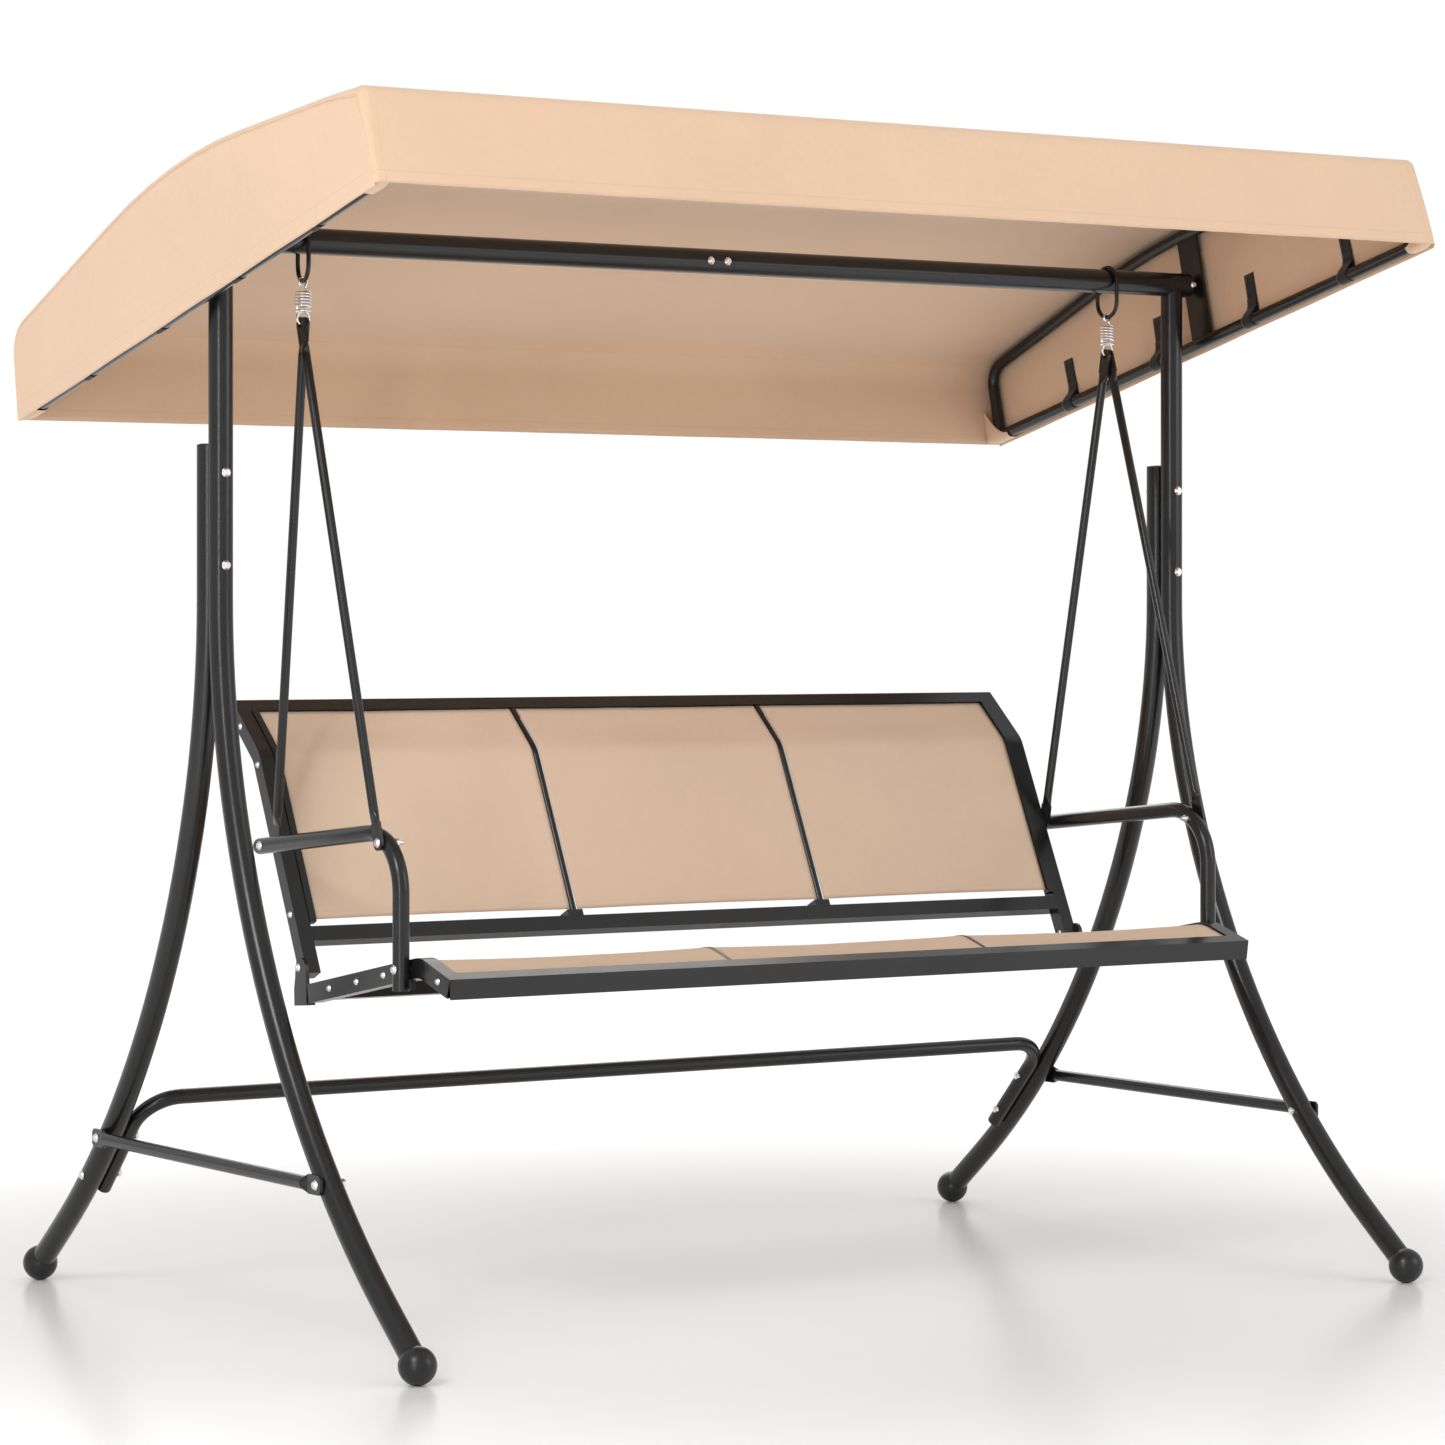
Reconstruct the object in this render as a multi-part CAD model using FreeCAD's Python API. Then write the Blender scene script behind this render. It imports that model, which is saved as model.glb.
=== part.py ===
import FreeCAD, Part
import math
import os

# Three-seat hanging garden swing with a tilting fabric canopy.
# Units mm, +Z up, front of the seat towards -Y, origin on the floor at the
# middle of the footprint; drawn with the crossbar over Y = 0, then shifted.

# ---- driving dimensions -------------------------------------------------
POST_X = 900.0          # centre plane of each A-frame
LEG_D = 36.5            # leg and post tube
LEG_WALL = 1.5
CROSS_D = 40.0          # crossbar tube
CROSS_Z = 1621.4        # crossbar axis height
CROSS_END = 919.0       # crossbar end, measured from the middle
SEAM_Z = 1240.7         # joint between upper post and front leg
REAR_Y = 38.2           # rear leg axis behind the post axis
REAR_TOP_Z = 1312.0     # open top of the rear leg, closed by a cap
BEND_Z = 1089.6         # legs are straight above this height
BEND_R1, BEND_A1 = 1116.0, 16.4
BEND_R2, BEND_A2 = 1348.7, 35.47
BALL_R = 27.5
BALL_Z = 27.0
LEG_BOLT_Z = (1271.7, 1134.3)
STRETCH_Z = 251.0       # side stretchers
STRETCH_D = 20.0
REAR_BAR_D = 24.0       # long bar between the rear legs
TILT = 13.65            # canopy tilt at rest, front edge up
CAN_X = 950.0           # centre plane of each canopy side frame
CAN_TUBE_D = 20.0
CAN_BOTTOM_Z = -100.0   # bottom tube below the pivot, canopy frame
CAN_CLOTH = 1.6
CAN_END_X = 962.3       # inner face of the end panels
HANG_X = 762.0          # hanger plane
APEX_Z = 1496.0         # hanger eye
RING_W = 26.0           # half width of the ring, wire centre line
RING_WIRE = 3.4
SPRING_R = 10.8
SPRING_WIRE = 1.75
HANG_D = 14.0
SEAT_X = 738.0          # outer face of the seat frame
SEAT_W = 24.0
SEAT_H = 29.0
BACK_X = 732.4          # outer face of the back frame
BACK_W = 24.0
BACK_D = 24.0
ARM_X = 751.0
ARM_D = 25.0
DIV_X = 236.0           # seat and back divider centre lines
CLOTH = 2.0
SHIFT_Y = -19.1         # moves the drawing so the footprint is centred on the origin
# -------------------------------------------------------------------------

V = FreeCAD.Vector
os.makedirs("parts", exist_ok=True)
SHAPES = {}
CUTS = []               # bolt holes as (names, solid)


def add(name, shape):
    SHAPES[name] = shape


def mirror(shape):
    return shape.mirror(V(0, 0, 0), V(1, 0, 0))


def cyl(p, d, length, r):
    return Part.makeCylinder(r, length, V(*p), V(*d))


def path2d(start, direction, segs, plane_x=0.0):
    """Tangent chain of lines and arcs in the YZ plane.
    segs: ('L', length) or ('A', radius, degrees); positive turns left
    seen with +Y to the right and +Z up."""
    y, z = start
    a = math.atan2(direction[1], direction[0])
    edges = []
    for s in segs:
        if s[0] == 'L':
            y2, z2 = y + s[1] * math.cos(a), z + s[1] * math.sin(a)
            edges.append(Part.makeLine(V(plane_x, y, z), V(plane_x, y2, z2)))
            y, z = y2, z2
        else:
            r, t = s[1], math.radians(s[2])
            sg = 1.0 if t > 0 else -1.0
            cy, cz = y - sg * r * math.sin(a), z + sg * r * math.cos(a)
            am, ae = a + t / 2.0, a + t
            pm = V(plane_x, cy + sg * r * math.sin(am), cz - sg * r * math.cos(am))
            pe = V(plane_x, cy + sg * r * math.sin(ae), cz - sg * r * math.cos(ae))
            edges.append(Part.Arc(V(plane_x, y, z), pm, pe).toShape())
            y, z, a = pe.y, pe.z, ae
    return Part.Wire(edges), (y, z), (math.cos(a), math.sin(a))


def fillet_points(pts, radii, seg_deg=4.0):
    """2-D polyline with rounded inner vertices, as a point list."""
    out = [pts[0]]
    for i in range(1, len(pts) - 1):
        p0, p1, p2 = pts[i - 1], pts[i], pts[i + 1]
        r = radii[i - 1]
        v0 = (p0[0] - p1[0], p0[1] - p1[1])
        v1 = (p2[0] - p1[0], p2[1] - p1[1])
        l0, l1 = math.hypot(*v0), math.hypot(*v1)
        v0 = (v0[0] / l0, v0[1] / l0)
        v1 = (v1[0] / l1, v1[1] / l1)
        cosang = v0[0] * v1[0] + v0[1] * v1[1]
        half = math.acos(max(-1, min(1, cosang))) / 2.0
        if r <= 0:
            out.append(p1)
            continue
        t = r / math.tan(half)
        bis = (v0[0] + v1[0], v0[1] + v1[1])
        lb = math.hypot(*bis)
        c = (p1[0] + bis[0] / lb * r / math.sin(half), p1[1] + bis[1] / lb * r / math.sin(half))
        a = (p1[0] + v0[0] * t, p1[1] + v0[1] * t)
        b = (p1[0] + v1[0] * t, p1[1] + v1[1] * t)
        a0 = math.atan2(a[1] - c[1], a[0] - c[0])
        a1 = math.atan2(b[1] - c[1], b[0] - c[0])
        d = a1 - a0
        while d > math.pi:
            d -= 2 * math.pi
        while d < -math.pi:
            d += 2 * math.pi
        n = max(2, int(abs(math.degrees(d)) / seg_deg) + 1)
        for k in range(n + 1):
            q = a0 + d * k / n
            out.append((c[0] + r * math.cos(q), c[1] + r * math.sin(q)))
    out.append(pts[-1])
    return out


def fillet_wire(pts, radii, x):
    """3-D wire in the plane X = x with true arcs at the inner vertices."""
    edges = []
    last = V(x, *pts[0])
    for i in range(1, len(pts) - 1):
        p0, p1, p2 = pts[i - 1], pts[i], pts[i + 1]
        r = radii[i - 1]
        v0 = V(0, p0[0] - p1[0], p0[1] - p1[1]).normalize()
        v1 = V(0, p2[0] - p1[0], p2[1] - p1[1]).normalize()
        half = math.acos(max(-1, min(1, v0.dot(v1)))) / 2.0
        t = r / math.tan(half)
        P1 = V(x, *p1)
        a, b = P1 + v0 * t, P1 + v1 * t
        bis = (v0 + v1).normalize()
        c = P1 + bis * (r / math.sin(half))
        m = c - bis * r
        edges.append(Part.makeLine(last, a))
        edges.append(Part.Arc(a, m, b).toShape())
        last = b
    edges.append(Part.makeLine(last, V(x, *pts[-1])))
    return Part.Wire(edges)


def sweep(wire, r):
    e = wire.Edges[0]
    p = e.valueAt(e.FirstParameter)
    t = e.tangentAt(e.FirstParameter)
    prof = Part.Wire([Part.makeCircle(r, p, t)])
    return wire.makePipeShell([prof], True, True)


def tube(wire, r, wall):
    return sweep(wire, r).cut(sweep(wire, r - wall))


def plate(points, x0, x1):
    """Prism of a YZ polygon between two X planes."""
    w = Part.makePolygon([V(x0, y, z) for y, z in points] + [V(x0, *points[0])])
    return Part.Face(w).extrude(V(x1 - x0, 0, 0))


def band(outer, t):
    """Closed YZ polygon of thickness t lying to the right of the point list."""
    inner = []
    n = len(outer)
    for i, p in enumerate(outer):
        a = outer[max(0, i - 1)]
        b = outer[min(n - 1, i + 1)]
        if i == 0 or i == n - 1:
            dx, dy = b[0] - a[0], b[1] - a[1]
            l = math.hypot(dx, dy)
            inner.append((p[0] + dy / l * t, p[1] - dx / l * t))
        else:
            d0 = (p[0] - a[0], p[1] - a[1])
            d1 = (b[0] - p[0], b[1] - p[1])
            l0, l1 = math.hypot(*d0), math.hypot(*d1)
            n0 = (d0[1] / l0, -d0[0] / l0)
            n1 = (d1[1] / l1, -d1[0] / l1)
            m = (n0[0] + n1[0], n0[1] + n1[1])
            lm = math.hypot(*m)
            m = (m[0] / lm, m[1] / lm)
            k = t / max(0.3, m[0] * n0[0] + m[1] * n0[1])
            inner.append((p[0] + m[0] * k, p[1] + m[1] * k))
    return list(outer) + inner[::-1]


def fastener(p, d, grip, r=3.0, head_r=7.0, head_h=3.2, nut_r=5.6, nut_h=5.0, nut=True, tail=3.0):
    """Domed screw with its head outside point p and its shank along d."""
    p, d = V(*p), V(*d)
    head = Part.makeCone(head_r, head_r * 0.62, head_h, p - d * 0.05, d * -1)
    slot1 = Part.makeBox(head_r * 0.9, 1.3, 1.6, V(-head_r * 0.45, -0.65, 0))
    slot2 = Part.makeBox(1.3, head_r * 0.9, 1.6, V(-0.65, -head_r * 0.45, 0))
    cross = slot1.fuse(slot2)
    rot = FreeCAD.Rotation(V(0, 0, 1), d * -1)
    cross.Placement = FreeCAD.Placement(p - d * (0.05 + head_h - 1.0), rot)
    body = head.cut(cross).fuse(Part.makeCylinder(r, grip + (nut_h + tail if nut else 0), p - d * 0.1, d))
    if nut:
        pts = [V(nut_r * math.cos(math.radians(60 * k)), nut_r * math.sin(math.radians(60 * k)), 0) for k in range(7)]
        hexa = Part.Face(Part.makePolygon(pts)).extrude(V(0, 0, nut_h))
        hexa.Placement = FreeCAD.Placement(p + d * (grip + 0.1), FreeCAD.Rotation(V(0, 0, 1), d))
        body = body.fuse(hexa)
    return body.removeSplitter()


def drill(names, p, d, length, r):
    CUTS.append((names, cyl(p, d, length, r)))


def both(f):
    return f, mirror(f)


# ---- end frames ----------------------------------------------------------
rl = LEG_D / 2.0
# upper post: coped under the crossbar, with a reduced spigot inside the leg
post = cyl((POST_X, 0, SEAM_Z + 0.3), (0, 0, 1), CROSS_Z - SEAM_Z, rl)
spigot = cyl((POST_X, 0, SEAM_Z - 75), (0, 0, 1), 90, rl - LEG_WALL - 0.25)
post = post.fuse(spigot)
post = post.cut(cyl((POST_X, 0, SEAM_Z - 80), (0, 0, 1), 600, rl - LEG_WALL - 2.0))
post = post.cut(cyl((800, 0, CROSS_Z), (1, 0, 0), 200, CROSS_D / 2.0 + 0.05))
post = max(post.Solids, key=lambda s: s.Volume)
# front leg
leg_segs = [('A', BEND_R1, BEND_A1), ('A', BEND_R2, BEND_A2)]
wf, endf, dirf = path2d((0, SEAM_Z), (0, -1), [('L', SEAM_Z - BEND_Z)] + [('A', s[1], -s[2]) for s in leg_segs], POST_X)
fall = (endf[1] - BALL_Z) / -dirf[1]
FOOT_F = (endf[0] + dirf[0] * fall, BALL_Z)
wf, endf, dirf = path2d((0, SEAM_Z), (0, -1), [('L', SEAM_Z - BEND_Z)] + [('A', s[1], -s[2]) for s in leg_segs] + [('L', fall - 9.0)], POST_X)
front_leg = tube(wf, rl, LEG_WALL)
# rear leg
wr, endr, dirr = path2d((REAR_Y, REAR_TOP_Z), (0, -1), [('L', REAR_TOP_Z - BEND_Z)] + [('A', s[1], s[2]) for s in leg_segs] + [('L', fall - 9.0)], POST_X)
FOOT_R = (REAR_Y - FOOT_F[0], BALL_Z)
rear_leg = tube(wr, rl, LEG_WALL)
# cap on the rear leg: a plug with a low dome
cap = Part.makeCylinder(rl, 2.0, V(POST_X, REAR_Y, REAR_TOP_Z + 0.1)).fuse(
    Part.makeCone(rl, rl - 5, 1.6, V(POST_X, REAR_Y, REAR_TOP_Z + 2.1))).fuse(
    Part.makeCylinder(rl - LEG_WALL - 0.1, 12.0, V(POST_X, REAR_Y, REAR_TOP_Z - 11.9)))


def foot(fy, d):
    ball = Part.makeSphere(BALL_R, V(POST_X, fy, BALL_Z))
    floor = Part.makeBox(100, 100, 50, V(POST_X - 50, fy - 50, -50))
    ball = ball.cut(floor)
    up = V(0, -d[0], -d[1])
    sock = Part.makeCylinder(rl + 0.1, 60, V(POST_X, fy, BALL_Z) + up * 8.8, up)
    return ball.cut(sock)


add("front_leg_right", front_leg)
add("rear_leg_right", rear_leg)
add("upper_post_right", post)
feet = [foot(FOOT_F[0], dirf), foot(FOOT_R[0], dirr)]
add("ball_feet", Part.makeCompound(feet + [mirror(q) for q in feet]))
for n in ("front_leg", "rear_leg", "upper_post"):
    add(n + "_left", mirror(SHAPES[n + "_right"]))
add("rear_leg_caps", Part.makeCompound([cap, mirror(cap)]))

# ---- crossbar ------------------------------------------------------------
rc = CROSS_D / 2.0
bar_l = cyl((-CROSS_END, 0, CROSS_Z), (1, 0, 0), CROSS_END - 0.2, rc).cut(
    cyl((-CROSS_END - 1, 0, CROSS_Z), (1, 0, 0), CROSS_END + 2, rc - 1.6))
bar_r = cyl((0.2, 0, CROSS_Z), (1, 0, 0), CROSS_END - 0.2, rc).fuse(
    cyl((-72, 0, CROSS_Z), (1, 0, 0), 90, rc - 1.6 - 0.25)).cut(
    cyl((-80, 0, CROSS_Z), (1, 0, 0), CROSS_END + 90, rc - 1.6 - 2.0))
add("crossbar_left", bar_l)
add("crossbar_right", bar_r)
# pivot plug: insert inside the crossbar, rounded collar, and the canopy shaft
plug = cyl((CROSS_END - 26, 0, CROSS_Z), (1, 0, 0), 27, rc - 3.85)
collar = cyl((CROSS_END + 0.2, 0, CROSS_Z), (1, 0, 0), 14.0, rc + 0.6)
dome = Part.makeSphere(24.0, V(CROSS_END + 2.4, 0, CROSS_Z)).common(
    cyl((CROSS_END + 14.2, 0, CROSS_Z), (1, 0, 0), 11.8, rc + 0.6))
shaft = cyl((CROSS_END + 20, 0, CROSS_Z), (1, 0, 0), 21.5, 5.95)
plug = plug.fuse(collar).fuse(dome).fuse(shaft).removeSplitter()
plug_out = CROSS_END + 26.0
add("pivot_plugs", Part.makeCompound([plug, mirror(plug)]))
pn = cyl((CAN_X + 3.2, 0, CROSS_Z), (1, 0, 0), 4.2, 11.0).cut(cyl((CAN_X, 0, CROSS_Z), (1, 0, 0), 12, 6.0))
add("pivot_nuts", Part.makeCompound([pn, mirror(pn)]))

# ---- stretchers ----------------------------------------------------------


def ellipse_wire(c, d, half_x, half_w):
    """Closed curve around c, normal d in the YZ plane; half_x along X."""
    d = V(*d)
    w = V(1, 0, 0).cross(d)
    if half_x > half_w:
        e = Part.Ellipse(c + V(1, 0, 0) * half_x, c + w * half_w, c)
    elif half_w > half_x:
        e = Part.Ellipse(c + w * half_w, c + V(1, 0, 0) * half_x, c)
    else:
        return Part.Wire([Part.makeCircle(half_x, c, d)])
    return Part.Wire([e.toShape()])


def flat_end_rod(p0, p1, x0, x1, r, lug_r, lug_t, flat, trans, square_end=False):
    """Tube with both ends pressed flat; p0 and p1 are the bolt points in YZ."""
    d = V(0, p1[0] - p0[0], p1[1] - p0[1])
    L = d.Length
    d = d.normalize()
    w = V(1, 0, 0).cross(d)

    def at(s):
        k = min(1.0, max(0.0, (s - flat) / (L - 2 * flat)))
        return V(x0 + (x1 - x0) * k, p0[0] + d.y * s, p0[1] + d.z * s)

    def square(s, hx, hw, n=24):
        c = at(s)
        e = 2.6 if hx < hw else 2.0
        pts = []
        for k in range(n):
            q = 2 * math.pi * (k + 0.5) / n
            cx, cw = math.cos(q), math.sin(q)
            pts.append(c + V(1, 0, 0) * (hx * math.copysign(abs(cx) ** (2 / e), cx)) + w * (hw * math.copysign(abs(cw) ** (2 / e), cw)))
        return Part.makePolygon(pts + [pts[0]])

    secs = [(flat - 2.0, lug_t / 2.0, lug_r), (flat + 2.0, lug_t / 2.0 + 0.3, lug_r),
            (flat + trans * 0.5, (lug_t / 2.0 + r) / 2.0, (lug_r + r) / 2.0), (flat + trans, r, r),
            (L - flat - trans, r, r), (L - flat - trans * 0.5, (lug_t / 2.0 + r) / 2.0, (lug_r + r) / 2.0),
            (L - flat - 2.0, lug_t / 2.0 + 0.3, lug_r), (L - flat + 2.0, lug_t / 2.0, lug_r)]
    body = Part.makeLoft([square(*s) for s in secs], True, True)
    out = body
    for (py, pz), sgn, x in ((p0, 1, x0), (p1, -1, x1)):
        c = V(x - lug_t / 2.0, py, pz)
        disc = Part.makeCylinder(lug_r, lug_t, c, V(1, 0, 0))
        a = c + w * lug_r
        b = c - w * lug_r
        q = d * (sgn * flat)
        f = Part.Face(Part.makePolygon([a, b, b + q, a + q, a])).extrude(V(lug_t, 0, 0))
        if square_end:
            e1, e2 = d * (-sgn * (lug_r - 5.0)), d * (-sgn * lug_r)
            w2 = w * (lug_r - 5.0)
            disc = Part.Face(Part.makePolygon([a, a + e1, c + w2 + e2, c - w2 + e2, b + e1, b, a])).extrude(V(lug_t, 0, 0))
        out = out.fuse(disc).fuse(f)
    return out.removeSplitter()


def leg_y(z):
    """Distance of a leg axis from its straight upper line at height z."""
    a1, a2 = math.radians(BEND_A1), math.radians(BEND_A1 + BEND_A2)
    za = BEND_Z - BEND_R1 * math.sin(a1)
    ya = BEND_R1 * (1 - math.cos(a1))
    zb = za - BEND_R2 * (math.sin(a2) - math.sin(a1))
    yb = ya + BEND_R2 * (math.cos(a1) - math.cos(a2))
    if z > BEND_Z:
        return 0.0
    if z > za:
        return BEND_R1 * (1 - math.sqrt(1 - ((BEND_Z - z) / BEND_R1) ** 2))
    if z > zb:
        s = math.sin(a1) + (za - z) / BEND_R2
        return ya + BEND_R2 * (math.cos(a1) - math.sqrt(1 - s * s))
    return yb + (zb - z) * math.tan(a2)


sy_f, sy_r = -leg_y(STRETCH_Z), REAR_Y + leg_y(STRETCH_Z)
side_x = POST_X + rl + 0.2 + 2.5
side = flat_end_rod((sy_f, STRETCH_Z), (sy_r, STRETCH_Z), side_x, side_x, STRETCH_D / 2.0, 14.0, 5.0, 22.0, 12.0, True)
add("side_stretchers", Part.makeCompound([side, mirror(side)]))

# long rear bar: level in the middle, both ends turned down along the rear legs
rb = REAR_BAR_D / 2.0
B_Z = 187.0
A_pt = V(0, sy_r, STRETCH_Z)
B_pt = V(0, REAR_Y + leg_y(B_Z), B_Z)
dn = (B_pt - A_pt).normalize()
rear_x = POST_X - rl - 0.3 - rb
top = A_pt - dn * 88.0
low = B_pt + dn * 32.0
br = 62.0
edges = []


def P(x, p):
    return V(x, p.y, p.z)


c45 = math.sqrt(0.5)
mr = P(rear_x - br, top) + dn * br      # bend centre on the right
ml = P(-rear_x + br, top) + dn * br
edges.append(Part.makeLine(P(-rear_x, low), P(-rear_x, top + dn * br)))
edges.append(Part.Arc(P(-rear_x, top + dn * br), ml + V(-1, 0, 0) * (br * c45) - dn * (br * c45), P(-rear_x + br, top)).toShape())
edges.append(Part.makeLine(P(-rear_x + br, top), P(rear_x - br, top)))
edges.append(Part.Arc(P(rear_x - br, top), mr + V(1, 0, 0) * (br * c45) - dn * (br * c45), P(rear_x, top + dn * br)).toShape())
edges.append(Part.makeLine(P(rear_x, top + dn * br), P(rear_x, low)))
rear_bar = tube(Part.Wire(edges), rb, 1.4)
for sx in (1, -1):
    endcap = Part.makeCylinder(rb, 2.0, P(sx * rear_x, low), dn)
    rear_bar = rear_bar.fuse(endcap)
add("rear_stretcher", rear_bar)

# frame fasteners
bolts = []
for z in LEG_BOLT_Z:
    for sx in (1, -1):
        p = (sx * POST_X, -rl - 0.1, z)
        bolts.append(fastener(p, (0, 1, 0), 2 * rl + REAR_Y + 0.2, r=3.5, head_r=7.4, head_h=3.4, nut_r=6.4))
        drill(["upper_post_right", "upper_post_left", "front_leg_right", "front_leg_left", "rear_leg_right", "rear_leg_left"],
              (sx * POST_X, -40, z), (0, 1, 0), 140, 3.8)
for bx in (-44.4, -12.8):
    bolts.append(fastener((bx, -rc - 0.1, CROSS_Z), (0, 1, 0), 2 * rc + 0.2, r=3.0, head_r=6.4, head_h=3.2))
    drill(["crossbar_left", "crossbar_right"], (bx, -40, CROSS_Z), (0, 1, 0), 80, 3.3)
add("frame_bolts", Part.makeCompound(bolts))
screws = []
for sx in (1, -1):
    p = (sx * 931.7, -rc - 0.6 - 0.1, CROSS_Z)
    screws.append(fastener(p, (0, 1, 0), 14, r=2.5, head_r=5.6, head_h=2.8, nut=False))
    drill(["pivot_plugs"], (sx * 931.7, -40, CROSS_Z), (0, 1, 0), 36, 2.7)
add("pivot_screws", Part.makeCompound(screws))
sb = []
for sx in (1, -1):
    # front: stretcher lug and leg; rear upper: lug, leg and rear bar; rear lower: leg and rear bar
    x_out = side_x + 2.5 + 0.1
    sb.append(fastener((sx * x_out, sy_f, STRETCH_Z), (-sx, 0, 0), 2 * rl + 5.5, r=3.5, head_r=7.4, head_h=3.4, nut_r=6.4, tail=1.5))
    drill(["front_leg_right", "front_leg_left", "side_stretchers"], (sx * 950, sy_f, STRETCH_Z), (-sx, 0, 0), 90, 3.8)
    grip = x_out - (rear_x - rb) + 0.1
    sb.append(fastener((sx * x_out, sy_r, STRETCH_Z), (-sx, 0, 0), grip, r=3.5, head_r=7.4, head_h=3.4, nut_r=6.4, tail=1.5))
    drill(["rear_leg_right", "rear_leg_left", "side_stretchers", "rear_stretcher"], (sx * 950, sy_r, STRETCH_Z), (-sx, 0, 0), 130, 3.8)
    x2 = POST_X + rl + 0.1
    sb.append(fastener((sx * x2, B_pt.y, B_Z), (-sx, 0, 0), x2 - (rear_x - rb) + 0.1, r=3.5, head_r=7.4, head_h=3.4, nut_r=6.4, tail=1.5))
    drill(["rear_leg_right", "rear_leg_left", "rear_stretcher"], (sx * 950, B_pt.y, B_Z), (-sx, 0, 0), 130, 3.8)
add("stretcher_bolts", Part.makeCompound(sb))

# ---- canopy, drawn level about the pivot and then tilted ------------------


def tilt(s):
    s = s.copy()
    s.translate(V(0, 0, CROSS_Z))
    s.rotate(V(0, 0, CROSS_Z), V(1, 0, 0), -TILT)
    return s


APEX = (14.6, 123.5)
HEM_F, HEM_R = (-583.0, -108.0), (622.5, -107.0)
SH_F, SH_R = (-568.5, 37.2), (609.0, 33.5)
cloth_pts = fillet_points([HEM_F, SH_F, APEX, SH_R, HEM_R], [12.0, 1450.0, 34.0], 5.0)
cov = plate(band(cloth_pts, CAN_CLOTH), -CAN_END_X - CAN_CLOTH, CAN_END_X + CAN_CLOTH)
inner_pts = band(cloth_pts, CAN_CLOTH + 0.05)[len(cloth_pts):][::-1]
END_Z = -109.0
ends = [p for p in inner_pts if p[1] > END_Z]


def hem_point(a, b):
    k = (END_Z - a[1]) / (b[1] - a[1])
    return (a[0] + (b[0] - a[0]) * k, END_Z)


end_poly = [hem_point(inner_pts[0], inner_pts[1])] + ends + [hem_point(inner_pts[-1], inner_pts[-2])]
end_panel = plate(end_poly, CAN_END_X, CAN_END_X + CAN_CLOTH - 0.05)
add("canopy_cover", tilt(cov))
add("canopy_end_panel_right", tilt(end_panel))
add("canopy_end_panel_left", tilt(mirror(end_panel)))
rt = CAN_TUBE_D / 2.0
AR_F, AR_R = -549.0, 592.0


def tube_line(y):
    """Arch tube centre height under the straight flanks of the cover."""
    if y < APEX[0]:
        return APEX[1] - 14.6 + 0.148 * (y - APEX[0])
    return APEX[1] - 14.6 - 0.152 * (y - APEX[0])


arch_pts = [(AR_F, CAN_BOTTOM_Z + rt + 0.1), (AR_F, tube_line(AR_F)), (APEX[0], APEX[1] - 14.6), (AR_R, tube_line(AR_R)), (AR_R, CAN_BOTTOM_Z + rt + 0.1)]
arch = tube(fillet_wire(arch_pts, [38.0, 1450.0, 38.0], CAN_X), rt, 1.2)
bottom = cyl((CAN_X, -560, CAN_BOTTOM_Z), (0, 1, 0), 1163, rt).cut(cyl((CAN_X, -558, CAN_BOTTOM_Z), (0, 1, 0), 1159, rt - 1.2))
add("canopy_arch_tube_right", tilt(arch))
add("canopy_arch_tube_left", tilt(mirror(arch)))
add("canopy_bottom_tube_right", tilt(bottom))
add("canopy_bottom_tube_left", tilt(mirror(bottom)))
cbar = Part.makeBox(5.0, 50.0, 210.0, V(CAN_X - 2.5, -25.0, CAN_BOTTOM_Z))
cbar = cbar.cut(cyl((CAN_X, -600, CAN_BOTTOM_Z), (0, 1, 0), 1200, rt + 0.1))
cbar = cbar.cut(sweep(fillet_wire(arch_pts, [38.0, 1450.0, 38.0], CAN_X), rt + 0.1))
cbar = max(cbar.Solids, key=lambda s: s.Volume)
cbar = cbar.cut(cyl((CAN_X - 10, 0, 0), (1, 0, 0), 20, 6.0))
add("canopy_centre_bar_right", tilt(cbar))
add("canopy_centre_bar_left", tilt(mirror(cbar)))
straps = []
for sy in (-378.0, -129.0, 125.0, 378.0):
    loop = cyl((CAN_X, sy - 12.5, CAN_BOTTOM_Z), (0, 1, 0), 25, rt + 1.8).cut(cyl((CAN_X, sy - 13, CAN_BOTTOM_Z), (0, 1, 0), 26, rt + 0.2))
    tail = Part.makeBox(1.6, 25, 80, V(CAN_X + rt + 0.2, sy - 12.5, CAN_BOTTOM_Z))
    s = loop.fuse(tail)
    straps += [s, mirror(s)]
add("canopy_straps", tilt(Part.makeCompound(straps)))
pockets = []
for tri, flo in (([(613.3, -44.0), (618.5, -110.5), (556.0, -110.5)], (556.0, 618.5)),
                 ([(-573.4, -44.0), (-579.6, -110.5), (-538.0, -110.5)], (-579.6, -538.0))):
    p = plate(tri, CAN_X - rt - 1.8, CAN_X - rt - 0.4)
    p = p.fuse(Part.makeBox(22.0, flo[1] - flo[0], 1.4, V(CAN_X - rt - 1.8, flo[0], -111.9)))
    pockets += [p, mirror(p)]
add("canopy_corner_pockets", tilt(Part.makeCompound(pockets)))

# ---- rings, springs, hooks -------------------------------------------------
rz1 = CROSS_Z + rc + 0.3 + RING_WIRE - RING_W
rz0 = 1561.0 + RING_W


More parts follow.
